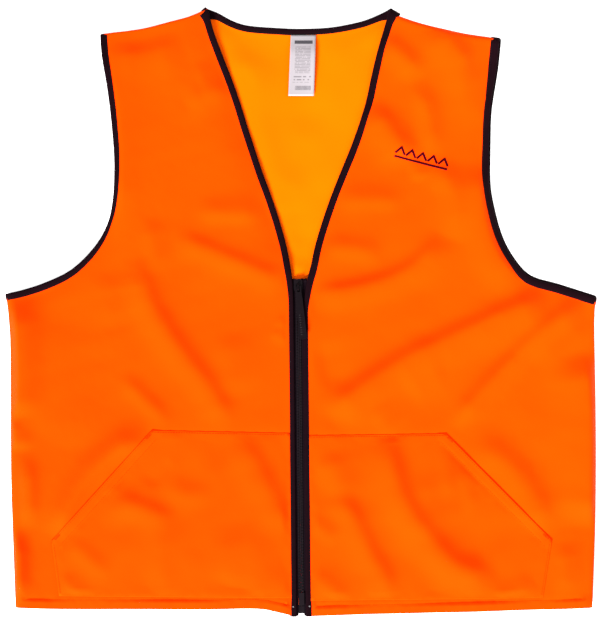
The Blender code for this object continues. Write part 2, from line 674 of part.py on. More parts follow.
# Separating end: the box on the right row and the pin on the left one.
box_line = [(-2.7, BOX_TOP), (3.3, BOX_TOP), (3.3, BOX_BOTTOM), (-2.7, BOX_BOTTOM)]
box = bpy.data.objects.new("retainer_box", plate_mesh(
    "retainer_box", box_line, TAPE_Z - 1.9, TAPE_Z + 1.9))
place(box, JET, 0.4, parent=zip_frame)
combine(box, cutter("retainer_socket", block_mesh(
    "retainer_socket", (0.5, BOX_BOTTOM + 1.5, TAPE_Z - 1.2), (2.75, BOX_TOP + 3, TAPE_Z + 1.2)),
    zip_frame), "DIFFERENCE")
combine(box, cutter("retainer_slot", block_mesh(
    "retainer_slot", (2.5, BOX_BOTTOM - 2, TAPE_Z - 0.6), (5.0, BOX_TOP + 3, TAPE_Z + 0.6)),
    zip_frame), "DIFFERENCE")
plate("insertion_pin", [(0.85, BOX_TOP + 0.3), (2.4, BOX_TOP + 0.3), (2.4, BOX_BOTTOM + 1.9),
                        (0.85, BOX_BOTTOM + 1.9)], TAPE_Z - 0.85, TAPE_Z + 0.85, JET, 0.4,
      parent=zip_frame)

# ---------------------------------------------------------------- trim
plate("care_label", moved(LABEL), 2.7, 3.1, WHITE, 0.6)
a, b = [Vector(p) for p in moved(EMBLEM)]
d = (b - a).normalized()
n = Vector((-d.y, d.x)) * EMBLEM_HALF
rows = 6
motif = []
for i in range(rows + 1):        # a saw-toothed ridge
    motif.append(a.lerp(b, i / rows) + n * (0.1 if i % 2 else 1.0))
motif += [b - n, a - n]
plate("chest_motif", motif, Z_FRONT + CLOTH / 2 + GAP, Z_FRONT + CLOTH / 2 + GAP + 0.7,
      MAROON, 0.6)
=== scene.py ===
"""The looks of the zip-front vest: cloth, bindings, pockets, zipper, label and light."""

import math

import bmesh
import bpy
import numpy as np
from mathutils import Matrix, Vector, geometry, kdtree


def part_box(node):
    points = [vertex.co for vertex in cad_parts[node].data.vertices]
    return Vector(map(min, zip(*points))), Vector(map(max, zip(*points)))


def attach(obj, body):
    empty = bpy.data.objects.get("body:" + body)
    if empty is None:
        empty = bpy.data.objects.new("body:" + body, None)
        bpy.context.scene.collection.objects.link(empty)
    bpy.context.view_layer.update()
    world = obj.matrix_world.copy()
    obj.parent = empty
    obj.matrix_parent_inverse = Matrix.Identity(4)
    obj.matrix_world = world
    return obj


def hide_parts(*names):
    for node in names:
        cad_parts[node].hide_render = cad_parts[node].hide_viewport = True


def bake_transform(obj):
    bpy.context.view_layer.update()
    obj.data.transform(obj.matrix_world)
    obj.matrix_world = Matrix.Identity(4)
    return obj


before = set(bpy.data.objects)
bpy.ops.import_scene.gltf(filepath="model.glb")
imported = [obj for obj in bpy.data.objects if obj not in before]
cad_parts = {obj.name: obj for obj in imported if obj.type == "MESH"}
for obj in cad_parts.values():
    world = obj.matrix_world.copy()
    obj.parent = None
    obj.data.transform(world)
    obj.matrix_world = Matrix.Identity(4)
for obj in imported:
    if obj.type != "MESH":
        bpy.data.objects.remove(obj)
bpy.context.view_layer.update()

MM = 0.001
CLOTH = 0.8
Z_BACK, Z_FRONT = 1.2, 11.4
SEAM_F, SEAM_B = 7.2, 4.0          # where the front and back cloth end at a seam
SEAM_SH = 10.0                     # and at the shoulder seams
ROLL = 7.0                        # width over which a layer turns down to its seam
BIND = 5.3                         # width of the folded binding beside the zipper
BIND_WIDE = 7.2                    # and round the neck and the armholes
EDGE_IN = 0.9
ZIP_EDGE = 5.0
HEM = 9.8
SX, SY = -0.126, -0.307
ZT = np.array([-3.2 + SX, 33.2 + SY])
ZBOT = np.array([0.5 + SX, -325.3 + SY])

ARMHOLE = {
    "r": [(-215, 297.5), (-213, 274), (-207.5, 242), (-203.5, 212), (-200, 173),
          (-199.5, 148), (-201, 122), (-206.5, 96), (-220.5, 70.5), (-245, 46),
          (-273, 32), (-298.5, 23.5), (-316.5, 19.5)],
    "l": [(212.5, 293), (209.5, 263), (205.5, 237.5), (202, 212), (201, 173),
          (201, 139), (204.5, 115.5), (213, 83.5), (226, 58), (245, 37.4),
          (275, 28.2), (298.5, 20.7), (316.5, 15)],
}
SIDE = {
    "r": [(-316.5, 19.5), (-313.5, -6), (-311.5, -45), (-311, -169), (-308.5, -250),
          (-306, -316.5)],
    "l": [(316.5, 15), (314.5, -11), (315.8, -94), (316.2, -169), (315.2, -240),
          (312.5, -316.5)],
}
V_EDGE = {
    "r": [(-99.5, 324), (-94, 302), (-84.5, 276), (-74.5, 250.5), (-65.5, 225),
          (-57.5, 199), (-49, 173), (-40.5, 147.5), (-31, 122), (-22.5, 96),
          (-15.5, 70.5), (-11.5, 50), (-9.5, 36), (-8.5, 22)],
    "l": [(95, 323.5), (88.5, 302), (81, 276), (75, 250.5), (69.5, 225),
          (61.5, 199), (52, 173), (41.5, 147.5), (31.5, 122), (22.5, 96),
          (15, 70.5), (10.6, 50), (7.0, 36), (4.5, 22)],
}
V_MEETS = {"r": 25.0, "l": 33.0}
SHOULDER = {
    "r": [(-100.5, 325.5), (-119, 317), (-141, 311), (-173, 303), (-215, 298)],
    "l": [(94, 324), (102, 318.5), (126, 310), (158, 302), (180, 297.5), (213, 293)],
}
HEM_LINE = {
    "r": [(-306, -316.5), (-255.5, -318), (-178.5, -318), (-102.5, -318.3),
          (-48, -317.5), (-25.5, -321), (-9.5, -325)],
    "l": [(312.5, -316.5), (278, -318), (241, -319), (174.5, -321), (109, -322.5),
          (52.5, -324), (10.5, -325.6)],
}
BACK_NECK = [(-101.5, 325.5), (-89, 321), (-74, 312.8), (-56.5, 307.4), (-24.5, 304.9),
             (-1, 304.0), (31, 305.4), (59, 310.5), (75, 315.4), (94, 324)]
BACK_HEM = [(-306, -316), (-150, -317.5), (0, -318), (150, -318), (312.5, -316)]
BACK_PEEK = {"r": 0.0, "l": 2.4}
POCKET = {
    "r": [(-159.5, -126.5), (-14.5, -129.5), (-11, -306), (-259, -304), (-267, -245)],
    "l": [(155, -130), (11, -132), (13, -309), (259, -306), (268.5, -244)],
}
FOLD_DROP, FOLD_FOOT = 15.0, 8.6

# Soft folds of the cloth. Each is a crest drawn on the pattern's grid (squares of 1.07 mm
# counted right and down), then its width on the lee side and on the lit side, and its height in mm.
FOLDS = {
    "r": [([(140, 255), (143, 285), (150, 305), (165, 330), (181, 353), (200, 377), (217, 402),
            (228, 432)], 6.0, 16.0, 3.0),
          ([(118, 372), (128, 383), (142, 397), (157, 411), (172, 430)], 4.5, 9.0, 1.5),
          ([(170, 233), (182, 239), (205, 249), (232, 260), (258, 271), (290, 284)], 5.0, 13.0, 2.2),
          ([(190, 209), (205, 211), (235, 213), (270, 214)], 7.0, 9.0, 1.9),
          ([(112, 60), (113, 100), (117, 130), (118, 170), (113, 210), (98, 240)], 12.0, 6.0, 1.2),
          ([(104, 60), (122, 58), (145, 56), (168, 50), (186, 44)], 6.0, 30.0, 2.6),
          ([(183, 104), (200, 98), (215, 92), (232, 86)], 7.0, 13.0, 1.5),
          ([(196, 60), (205, 80), (214, 104)], 9.0, 8.0, 0.8),
          ([(15, 296), (18, 318), (20, 345), (21, 375), (20, 405), (17, 430)], 11.0, 6.0, 4.6),
          ([(12, 418), (16, 432), (17, 452)], 7.0, 5.0, 2.6),
          ([(18, 455), (26, 466), (28, 480), (29, 505), (25, 530)], 5.0, 8.0, 2.8),
          ([(14, 528), (18, 545), (19, 575), (19, 606)], 5.0, 6.0, 4.2),
          ([(152, 436), (128, 443), (106, 458), (88, 476), (74, 497), (62, 520), (54, 540)],
           8.0, 9.0, 4.0),
          ([(225, 330), (232, 360), (236, 400)], 14.0, 14.0, 1.4),
          ([(60, 320), (66, 380), (60, 450)], 22.0, 22.0, 1.2),
          ([(150, 215), (152, 240), (160, 275)], 7.0, 9.0, 1.2),
          ([(120, 330), (112, 300), (110, 270)], 16.0, 18.0, 1.2),
          ([(276, 318), (287, 326)], 4.0, 5.0, 0.9), ([(272, 330), (287, 342)], 4.0, 5.0, 0.8)],
    "l": [([(552, 298), (530, 305), (500, 316), (470, 330), (440, 344), (410, 358), (380, 376),
            (352, 396), (326, 418)], 6.0, 24.0, 4.3),
          ([(588, 300), (572, 310), (550, 326), (528, 345), (508, 365), (490, 384), (470, 406),
            (452, 430)], 5.2, 12.0, 3.4),
          ([(592, 318), (575, 336), (555, 356), (535, 372)], 7.0, 12.0, 1.4),
          ([(582, 350), (586, 390), (588, 430), (588, 480), (587, 530)], 5.0, 32.0, 5.4),
          ([(330, 199), (350, 199), (380, 200), (410, 202)], 6.0, 9.0, 1.6),
          ([(318, 244), (338, 247), (362, 250), (388, 256)], 6.0, 11.0, 2.0),
          ([(308, 297), (325, 294), (352, 290), (383, 282), (410, 270), (430, 252), (440, 230)],
           5.0, 16.0, 3.3),
          ([(378, 34), (392, 48), (408, 62), (424, 78)], 6.0, 14.0, 2.5),
          ([(366, 100), (374, 113), (388, 132), (402, 150), (408, 170)], 7.0, 18.0, 3.7),
          ([(414, 80), (422, 96), (428, 116), (431, 142), (430, 160)], 6.0, 9.0, 2.4),
          ([(440, 22), (448, 42), (462, 60), (478, 66)], 6.0, 20.0, 2.9),
          ([(430, 156), (440, 170), (450, 188), (455, 212), (452, 244)], 7.0, 13.0, 2.6),
          ([(412, 158), (416, 168), (420, 182)], 5.0, 6.0, 1.2),
          ([(478, 160), (479, 200), (486, 232), (502, 262), (530, 280)], 7.0, 22.0, 4.2),
          ([(470, 438), (488, 450), (508, 465), (527, 488), (540, 514), (548, 538)], 8.0, 17.0, 3.2),
          ([(322, 340), (330, 372), (338, 396)], 10.0, 10.0, -1.4),
          ([(405, 395), (430, 380), (450, 372)], 14.0, 14.0, 1.2),
          ([(372, 404), (384, 420), (396, 436)], 8.0, 10.0, 1.1),
          ([(500, 120), (470, 100), (460, 60)], 14.0, 16.0, 1.5),
          ([(560, 540), (566, 565), (562, 598)], 8.0, 10.0, 1.6),
          ([(380, 14), (410, 22), (450, 30), (496, 37)], 3.0, 56.0, 1.5)],
}
POCKET_FOLDS = {
    "r": [([(110, 494), (122, 500), (142, 508), (160, 515), (180, 524)], 5.0, 14.0, 2.5),
          ([(66, 536), (80, 550), (96, 565), (116, 578)], 5.0, 10.0, 1.6),
          ([(58, 572), (72, 588), (90, 606)], 5.0, 9.0, 1.6),
          ([(232, 436), (243, 446), (256, 465), (267, 488), (277, 514), (284, 540)], 5.6, 18.0, 2.8),
          ([(168, 456), (160, 470), (148, 488)], 6.0, 7.0, -1.3),
          ([(160, 482), (176, 490), (196, 494), (214, 484)], 6.0, 10.0, 1.2),
          ([(158, 520), (162, 550), (166, 600)], 8.0, 12.0, 1.5),
          ([(236, 520), (240, 560), (232, 600)], 16.0, 24.0, 2.2),
          ([(100, 470), (108, 482), (114, 496)], 5.0, 6.0, 1.0),
          ([(204, 580), (230, 588), (262, 586)], 8.0, 8.0, -1.2)],
    "l": [([(380, 432), (386, 446), (391, 468), (399, 492), (410, 513), (425, 533), (440, 552),
            (456, 566), (478, 572), (498, 566)], 6.4, 18.0, 4.6),
          ([(330, 490), (340, 501), (351, 516), (361, 537), (371, 557), (383, 577), (393, 606)],
           5.6, 15.0, 3.6),
          ([(308, 572), (325, 584), (350, 604)], 5.0, 11.0, 1.8),
          ([(305, 520), (322, 528), (338, 544)], 6.0, 9.0, 1.6),
          ([(444, 446), (448, 470), (452, 505)], 6.0, 8.0, 1.5),
          ([(458, 462), (466, 485), (474, 515)], 5.0, 7.0, 1.3),
          ([(488, 600), (504, 596), (520, 588), (536, 578)], 5.0, 9.0, 1.7),
          ([(330, 450), (334, 476), (338, 500)], 9.0, 12.0, 1.6),
          ([(424, 470), (430, 500), (452, 530)], 10.0, 12.0, 1.2)],
}


# ------------------------------------------------------------------ plane tools
def smooth(points, n=3):
    p = [np.array(q, float) + (SX, SY) for q in points]
    p = [2 * p[0] - p[1]] + p + [2 * p[-1] - p[-2]]
    out = []
    for i in range(1, len(p) - 2):
        for k in range(n):
            t = k / n
            out.append(0.5 * (2 * p[i] + (p[i + 1] - p[i - 1]) * t
                              + (2 * p[i - 1] - 5 * p[i] + 4 * p[i + 1] - p[i + 2]) * t * t
                              + (3 * p[i] - p[i - 1] - 3 * p[i + 1] + p[i + 2]) * t ** 3))
    return np.array(out + [p[-2]])


def normals(line):
    d = np.empty_like(line)
    d[1:-1] = line[2:] - line[:-2]
    d[0], d[-1] = line[1] - line[0], line[-1] - line[-2]
    d /= np.linalg.norm(d, axis=1)[:, None]
    return np.stack([-d[:, 1], d[:, 0]], 1)


def offset(line, d):
    return line + normals(line) * d


def resample(line, step):
    seg = np.linalg.norm(np.diff(line, axis=0), axis=1)
    s = np.concatenate([[0], np.cumsum(seg)])
    n = max(2, int(round(s[-1] / step)) + 1)
    t = np.linspace(0, s[-1], n)
    return np.stack([np.interp(t, s, line[:, k]) for k in range(line.shape[1])], 1)


def cross_at(a, b, c, d):
    r, s = b - a, d - c
    den = r[0] * s[1] - r[1] * s[0]
    if abs(den) < 1e-12:
        return None
    t = ((c - a)[0] * s[1] - (c - a)[1] * s[0]) / den
    u = ((c - a)[0] * r[1] - (c - a)[1] * r[0]) / den
    if -1e-9 <= t <= 1 + 1e-9 and -1e-9 <= u <= 1 + 1e-9:
        return a + r * t
    return None


def extended(line, reach=25.0):
    a = line[0] + (line[0] - line[1]) / np.linalg.norm(line[0] - line[1]) * reach
    b = line[-1] + (line[-1] - line[-2]) / np.linalg.norm(line[-1] - line[-2]) * reach
    return np.concatenate([[a], line[1:-1], [b]])


def meet(first, second):
    f, s = extended(first), extended(second)
    for i in range(len(f) - 2, -1, -1):
        for j in range(len(s) - 1):
            hit = cross_at(f[i], f[i + 1], s[j], s[j + 1])
            if hit is not None:
                start, rest = f[:i + 1].copy(), s[j + 1:].copy()
                start[0], rest[-1] = first[0], second[-1]
                return np.concatenate([start, [hit]]), np.concatenate([[hit], rest])
    raise ValueError("edges do not meet")


def outline(*lines, step=4.2):
    """A closed loop from edges in order, cut where they cross and evenly resampled."""
    lines = [np.array(e) for e in lines]
    n = len(lines)
    for i in range(n):
        lines[i], lines[(i + 1) % n] = meet(lines[i], lines[(i + 1) % n])
    return np.concatenate([resample(e, step)[:-1] for e in lines])


def near(points, line, closed=False):
    """Distance from each point to a line, and how far along it the nearest point is."""
    a = line
    b = np.roll(line, -1, 0) if closed else line[1:]
    a = a if closed else line[:-1]
    d = b - a
    ll = np.maximum((d * d).sum(1), 1e-12)
    start = np.concatenate([[0], np.cumsum(np.sqrt(ll))])[:-1]
    best, along = np.full(len(points), 1e9), np.zeros(len(points))
    for k in range(0, len(points), 2000):
        p = points[k:k + 2000]
        ap = p[:, None] - a[None]
        t = np.clip((ap * d[None]).sum(2) / ll[None], 0, 1)
        q = ap - t[:, :, None] * d[None]
        dist = np.sqrt((q * q).sum(2))
        i = dist.argmin(1)
        r = np.arange(len(p))
        best[k:k + 2000] = dist[r, i]
        along[k:k + 2000] = start[i] + t[r, i] * np.sqrt(ll[i])
    return best, along


def inside(points, poly):
    x, y = points[:, 0], points[:, 1]
    hit = np.zeros(len(points), bool)
    for (x0, y0), (x1, y1) in zip(poly, np.roll(poly, -1, 0)):
        if y0 == y1:
            continue
        cond = (y0 > y) != (y1 > y)
        hit ^= cond & (x < (x1 - x0) * (y - y0) / (y1 - y0) + x0)
    return hit


def step01(x):
    x = np.clip(x, 0, 1)
    return x * x * (3 - 2 * x)


def waves(p, seed, count, low, high):
    """A smooth random field of about unit size, with wavelengths from low to high mm."""
    rng = np.random.RandomState(seed)
    total = np.zeros(len(p))
    for _ in range(count):
        ang, ph = rng.uniform(0, 2 * math.pi, 2)
        lam = math.exp(rng.uniform(math.log(low), math.log(high)))
        bend = rng.uniform(-0.5, 0.5)
        u = p[:, 0] * math.cos(ang) + p[:, 1] * math.sin(ang)
        v = -p[:, 0] * math.sin(ang) + p[:, 1] * math.cos(ang)
        total += np.sin(2 * math.pi * u / lam + ph + bend * np.sin(2 * math.pi * v / (lam * 2.3)))
    return total / math.sqrt(count / 2)


LIGHT_AZ, LIGHT_EL = math.radians(245), math.radians(30)
DOWNLIGHT = -np.array([math.cos(LIGHT_AZ), math.sin(LIGHT_AZ)])


def grid_line(points):
    g = [((x - 301) * 1.07, (312 - y) * 1.07) for x, y in points]
    return smooth(g, 4) if len(g) > 2 else np.array(g) + (SX, SY)


def creased(p, folds):
    """Sum of the soft folds: each is steeper on its lee side than on its lit side."""
    total = np.zeros(len(p))
    for points, lee, lit, h in folds:
        line = grid_line(points)
        far = max(lee * 1.9, lit) * 1.07 * 2.4
        lo, hi = line.min(0) - far, line.max(0) + far
        pick = ((p > lo) & (p < hi)).all(1)
        if not pick.any():
            continue
        q = p[pick]
        d = line[1:] - line[:-1]
        ll = np.linalg.norm(d, axis=1)
        start = np.concatenate([[0], np.cumsum(ll)])
        rel = q[:, None] - line[None, :-1]
        t = np.clip((rel * d[None]).sum(2) / (ll ** 2)[None], 0, 1)
        gap = rel - t[:, :, None] * d[None]
        dist = np.sqrt((gap ** 2).sum(2))
        i = dist.argmin(1)
        r = np.arange(len(q))
        dist, t = dist[r, i], start[i] + t[r, i] * ll[i]
        u = d[i] / ll[i][:, None]
        n = np.stack([-u[:, 1], u[:, 0]], 1)
        side_of = np.sign((rel[r, i] * n).sum(1))
        run = (line[-1] - line[0]) / np.linalg.norm(line[-1] - line[0])
        lee_sign = np.sign(-run[1] * DOWNLIGHT[0] + run[0] * DOWNLIGHT[1])
        w = np.where(side_of * lee_sign > 0, lee * 1.9, lit) * 1.07
        length = start[-1]
        ends = min(0.34 * length, 34.0)
        fade = step01(t / ends) * step01((length - t) / ends)
        total[pick] += 2.0 * h * np.exp(-(dist / w) ** 2) * fade
    return total


# ------------------------------------------------------------------ the pattern
arm = {"r": smooth(ARMHOLE["r"]), "l": smooth(ARMHOLE["l"])[::-1]}
side = {"r": smooth(SIDE["r"]), "l": smooth(SIDE["l"])[::-1]}
shoulder = {"r": smooth(SHOULDER["r"]), "l": smooth(SHOULDER["l"])[::-1]}
hem = {"r": smooth(HEM_LINE["r"]), "l": smooth(HEM_LINE["l"])[::-1]}
back_neck = smooth(BACK_NECK)[::-1]
back_hem = smooth(BACK_HEM)
zip_down = (ZBOT - ZT) / np.linalg.norm(ZBOT - ZT)
zip_right = np.array([-zip_down[1], zip_down[0]])
zip_len = float(np.linalg.norm(ZBOT - ZT))
zip_line = np.array([ZT, ZBOT])
front_edge, fold = {}, {}
for s, sign in (("r", -1), ("l", 1)):
    part = np.array([ZT + zip_down * d + zip_right * (ZIP_EDGE * sign)
                     for d in (V_MEETS[s], 60, 120, 180, 240, 300, zip_len + 0.6)])
    v = smooth(V_EDGE[s] + [tuple(part[0] - (SX, SY))], 4)[:-1]
    front_edge[s] = np.concatenate([v, part])
    seg = np.linalg.norm(np.diff(front_edge[s], axis=0), axis=1)
    cs = np.concatenate([[0], np.cumsum(seg)])
    top = np.array([np.interp(FOLD_DROP, cs, front_edge[s][:, k]) for k in (0, 1)])
    foot = np.array(SIDE[s][-1]) + (SX - sign * FOLD_FOOT, SY - 2.0)
    fold[s] = (top, foot)
back_arm = {s: offset(arm[s], -BACK_PEEK[s]) for s in "rl"}


def fold_dir(s):
    """Unit vector across the fold line, towards the centre front."""
    top, foot = fold[s]
    d = (foot - top) / np.linalg.norm(foot - top)
    n = np.array([-d[1], d[0]])
    return n if s == "r" else -n


def off_fold(p, s):
    return (p - fold[s][0]) @ fold_dir(s)


def rolled(z, d, seam, width=ROLL):
    k = np.clip(d / width, 0, 1)
    return seam + (z - seam) * np.sqrt(np.maximum(0.0, 1 - (1 - k) ** 2.4))


def pocket_loop(s):
    return np.array(POCKET[s], float) + (SX, SY)


def seam_top(p, s):
    """Height of the front cloth at the shoulder seam, lower at the seam's two ends."""
    d_v, d_a = near(p, front_edge[s][:-7])[0], near(p, arm[s])[0]
    return SEAM_F + (SEAM_SH - SEAM_F) * step01((d_v - 5) / 16) * step01((d_a - 4) / 14)


def front_z(p, s, hemmed=True):
    """Mid-plane height of a front panel's cloth."""
    p = np.asarray(p, float)
    d_sd, d_sh = near(p, side[s])[0], near(p, shoulder[s])[0]
    d_side = np.minimum(d_sd, d_sh)
    d_edge = np.minimum(near(p, front_edge[s])[0], near(p, arm[s])[0])
    d_zip = near(p, zip_line)[0]
    calm = 0.35 + 0.65 * step01(d_edge / 12)
    calm = calm * step01((d_zip - 10.5) / 9) * step01(d_sd / 5.5) * step01((d_sh + 1.5) / 5.5)
    z = Z_FRONT + (creased(p, FOLDS[s])
                   + 0.45 * waves(p, 11 if s == "r" else 12, 16, 60, 190)
                   + 0.10 * waves(p, 21 if s == "r" else 22, 14, 26, 60)) * calm
    z = z + 0.035 * waves(p, 31, 10, 12, 26) * step01((d_zip - 11) / 10) * step01(d_side / 12)
    # the V edge and the armhole edge settle towards the back
    d_v = near(p, front_edge[s][:-7])[0]
    d_a = near(p, arm[s])[0]
    z = z - 3.4 * np.exp(-(d_v / 20) ** 2) * step01((p[:, 1] - ZT[1] - 4) / 46)
    if s == "r":                       # the upright part of this armhole stands up a little
        tall = step01((p[:, 1] - 88) / 60)
        z = z - 2.2 * np.exp(-(d_a / 15) ** 2) * step01(d_side / 30) * (1 - tall)
        z = z + 4.6 * np.exp(-(d_a / 27) ** 2) * step01(d_sh / 40) * tall
    else:
        z = z - 2.2 * np.exp(-(d_a / 15) ** 2) * step01(d_side / 30)
    if hemmed:
        d, along = near(p, hem[s])
        quiet = step01((d_zip - 10.5) / 5)
        pull = 0.25 * np.sin(along / 2.1 + 1.5 * np.sin(along / 11.0)) * quiet
        band = step01((HEM + 0.4 - d) / 1.6)
        uneven = 0.75 + 0.35 * np.sin(along / 19.0 + 2.0 * np.sin(along / 43.0))
        z = z + quiet * (0.6 * band - (0.5 if s == "r" else 0.85) * uneven * np.exp(-((d - HEM - 0.4) / 0.95) ** 2)
                         + pull * np.exp(-((d - HEM) / 3.2) ** 2))
        z = z + quiet * 0.8 * band * np.sin(along / 21.0 + 0.8 * np.sin(along / 47.0))
    # the pocket is pressed into the front, which lies lower under it
    poly = pocket_loop(s)
    dp = near(p, poly, closed=True)[0] * np.where(inside(p, poly), 1.0, -1.0)
    z = z - 0.42 * step01((dp + 3.0) / 5.0)
    return rolled(rolled(z, d_sd, SEAM_F, ROLL), d_sh, seam_top(p, s), 3.6)


def back_z(p):
    p = np.asarray(p, float)
    d_side = np.minimum.reduce([near(p, side["r"])[0], near(p, side["l"])[0],
                                near(p, shoulder["r"])[0], near(p, shoulder["l"])[0]])
    d_edge = np.minimum.reduce([near(p, back_neck)[0], near(p, back_arm["r"])[0],
                                near(p, back_arm["l"])[0], near(p, back_hem)[0]])
    calm = step01(d_edge / 26) * step01(d_side / 20)
    up = 0.5 + 0.5 * waves(p, 41, 16, 40, 150)
    z = Z_BACK + (0.75 * np.clip(up, -0.3, 3) + creased(p, [
        ([(238, 40), (262, 130), (284, 220)], 14.0, 18.0, 1.3),
        ([(340, 30), (334, 110), (316, 200)], 12.0, 16.0, 1.0),
        ([(300, 110), (304, 180), (302, 250)], 14.0, 16.0, 0.8)])) * calm
    d, along = near(p, back_hem)
    z = z + 0.18 * np.exp(-((d - HEM) / 3.0) ** 2) * np.sin(along / 2.8)
    z = np.maximum(z, Z_BACK - 0.35)
    v = np.minimum(near(p, front_edge["r"][:-7])[0], near(p, front_edge["l"][:-7])[0])
    z = z + 2.6 * np.exp(-(v / 26) ** 2) * step01((d_edge - 3) / 20) * step01(d_side / 20)
    hump = 4.4 * np.exp(-(((p[:, 0] + 2) / 26) ** 2 + ((p[:, 1] - 46) / 34) ** 2))
    z = np.minimum(z + hump, 5.9)
    z = z + 2.5 * np.exp(-((p[:, 0] + 2.5) / 7.5) ** 2 - ((p[:, 1] - 44.5) / 9.0) ** 2)
    return rolled(z, d_side, SEAM_B, 9.0)


# ------------------------------------------------------------------ mesh tools
def new_object(name, verts, faces, mats, face_mats=None, smooth_all=True, uv=None):
    mesh = bpy.data.meshes.new(name)
    mesh.from_pydata([tuple(v) for v in np.asarray(verts, float) * MM], [],
                     [tuple(int(i) for i in f) for f in faces])
    mesh.update()
    for m in mats:
        mesh.materials.append(m)
    if face_mats is not None:
        mesh.polygons.foreach_set("material_index", np.asarray(face_mats, np.int32))
    if smooth_all:
        mesh.shade_smooth()
    if uv is not None:
        layer = mesh.uv_layers.new(name="weave")
        loops = np.zeros(len(mesh.loops), np.int32)
        mesh.loops.foreach_get("vertex_index", loops)
        layer.data.foreach_set("uv", np.asarray(uv, np.float32)[loops].ravel())
    obj = bpy.data.objects.new(name, mesh)
    bpy.context.scene.collection.objects.link(obj)
    return obj


def plane_mesh(loop, rings, spacing, extra=None):
    """A triangle mesh of the area inside a loop: rows of points beside its edge, a grid inside."""
    n = len(loop)
    prev, nxt = np.roll(loop, 1, 0), np.roll(loop, -1, 0)
    t = nxt - prev
    t /= np.linalg.norm(t, axis=1)[:, None]
    inward = np.stack([-t[:, 1], t[:, 0]], 1)
    pts = [loop]
    for r in rings:
        q = loop + inward * r
        d = near(q, loop, closed=True)[0]
        q = q[(d > 0.965 * r) & inside(q, loop)]
        pts.append(q)
    lo, hi = loop.min(0), loop.max(0)
    dy = spacing * math.sqrt(3) / 2
    grid = []
    for j, y in enumerate(np.arange(lo[1], hi[1] + dy, dy)):
        xs = np.arange(lo[0] + (spacing / 2 if j % 2 else 0), hi[0] + spacing, spacing)
        grid.append(np.stack([xs, np.full(len(xs), y)], 1))
    grid = np.concatenate(grid)
    grid = grid[inside(grid, loop)]
    grid = grid[near(grid, loop, closed=True)[0] > (rings[-1] if len(rings) else 0) + spacing * 0.55]
    if extra is not None and len(extra):
        e = extra[inside(extra, loop)]
        e = e[near(e, loop, closed=True)[0] > (rings[-1] if len(rings) else 0) + 1.4]
        if len(e):
            tree = kdtree.KDTree(len(e))
            for i, q in enumerate(e):
                tree.insert((q[0], q[1], 0), i)
            tree.balance()
            keep = [tree.find((q[0], q[1], 0))[2] > spacing * 0.6 for q in grid]
            grid = grid[np.array(keep, bool)]
            pts.append(e)
    pts.append(grid)
    allp = np.concatenate(pts)
    edges = [(i, (i + 1) % n) for i in range(n)]
    co, _, faces, _, _, _ = geometry.delaunay_2d_cdt(
        [Vector((float(x), float(y))) for x, y in allp], edges, [], 1, 1e-5)
    co = np.array([(v.x, v.y) for v in co])
    out = []
    for f in faces:
        a, b, c = co[f[0]], co[f[1]], co[f[2]]
        area = (b[0] - a[0]) * (c[1] - a[1]) - (b[1] - a[1]) * (c[0] - a[0])
        out.append(f if area > 0 else (f[0], f[2], f[1]))
    used = np.unique(np.array(out))
    remap = np.full(len(co), -1)
    remap[used] = np.arange(len(used))
    return co[used], [tuple(remap[list(f)]) for f in out]


def vertex_normals(v, faces):
    f = np.array(faces)
    a, b, c = v[f[:, 0]], v[f[:, 1]], v[f[:, 2]]
    fn = np.cross(b - a, c - a)
    n = np.zeros_like(v)
    for k in range(3):
        np.add.at(n, f[:, k], fn)
    return n / np.maximum(np.linalg.norm(n, axis=1), 1e-12)[:, None]


def thick_cloth(name, co, faces, z, over, under, thickness=CLOTH, rim=None):
    """Cloth with a real thickness: its upper face, its lower face and its cut edge."""
    v = np.column_stack([co, z])
    n = vertex_normals(v, faces)
    half = np.broadcast_to(np.asarray(thickness, float), len(v))[:, None] / 2
    top, low = v + n * half, v - n * half
    m = len(v)
    f = [tuple(t) for t in faces] + [(t[0] + m, t[2] + m, t[1] + m) for t in faces]
    mats = [0] * len(faces) + [1] * len(faces)
    count = {}
    for t in faces:
        for a, b in ((t[0], t[1]), (t[1], t[2]), (t[2], t[0])):
            count[(a, b)] = True
    for a, b in list(count):
        if (b, a) not in count:
            f.append((b, a, a + m, b + m))
            mats.append(0)
    return new_object(name, np.concatenate([top, low]), f, [over, under], mats)


def strip(name, p, d, n, section, mats, closed_loop, cap=True, uv_scale=1.0, wide=None):
    """A strip whose closed section (a along d, b along n) follows the points p."""
    m, k = len(p), len(section)
    sec = np.array(section, float)
    wide = np.ones(m) if wide is None else wide
    verts = (p[:, None] + d[:, None] * (sec[None, :, :1] * wide[:, None, None])
             + n[:, None] * sec[None, :, 1:]).reshape(-1, 3)
    faces = []
    for i in range(m if closed_loop else m - 1):
        j = (i + 1) % m
        for q in range(k):
            r = (q + 1) % k
            faces.append((i * k + q, i * k + r, j * k + r, j * k + q))
    if not closed_loop and cap:
        faces.append(tuple(range(k - 1, -1, -1)))
        faces.append(tuple((m - 1) * k + q for q in range(k)))
    seg = np.linalg.norm(np.diff(p, axis=0), axis=1)
    s = np.concatenate([[0], np.cumsum(seg)])
    around = np.concatenate([[0], np.cumsum(np.linalg.norm(np.diff(sec, axis=0), axis=1))])
    uv = np.stack(np.broadcast_arrays(s[:, None], around[None, :]), 2).reshape(-1, 2) * uv_scale
    obj = new_object(name, verts, faces, mats, uv=uv)
    bm = bmesh.new()
    bm.from_mesh(obj.data)
    bmesh.ops.recalc_face_normals(bm, faces=bm.faces)
    bm.to_mesh(obj.data)
    bm.free()
    return obj


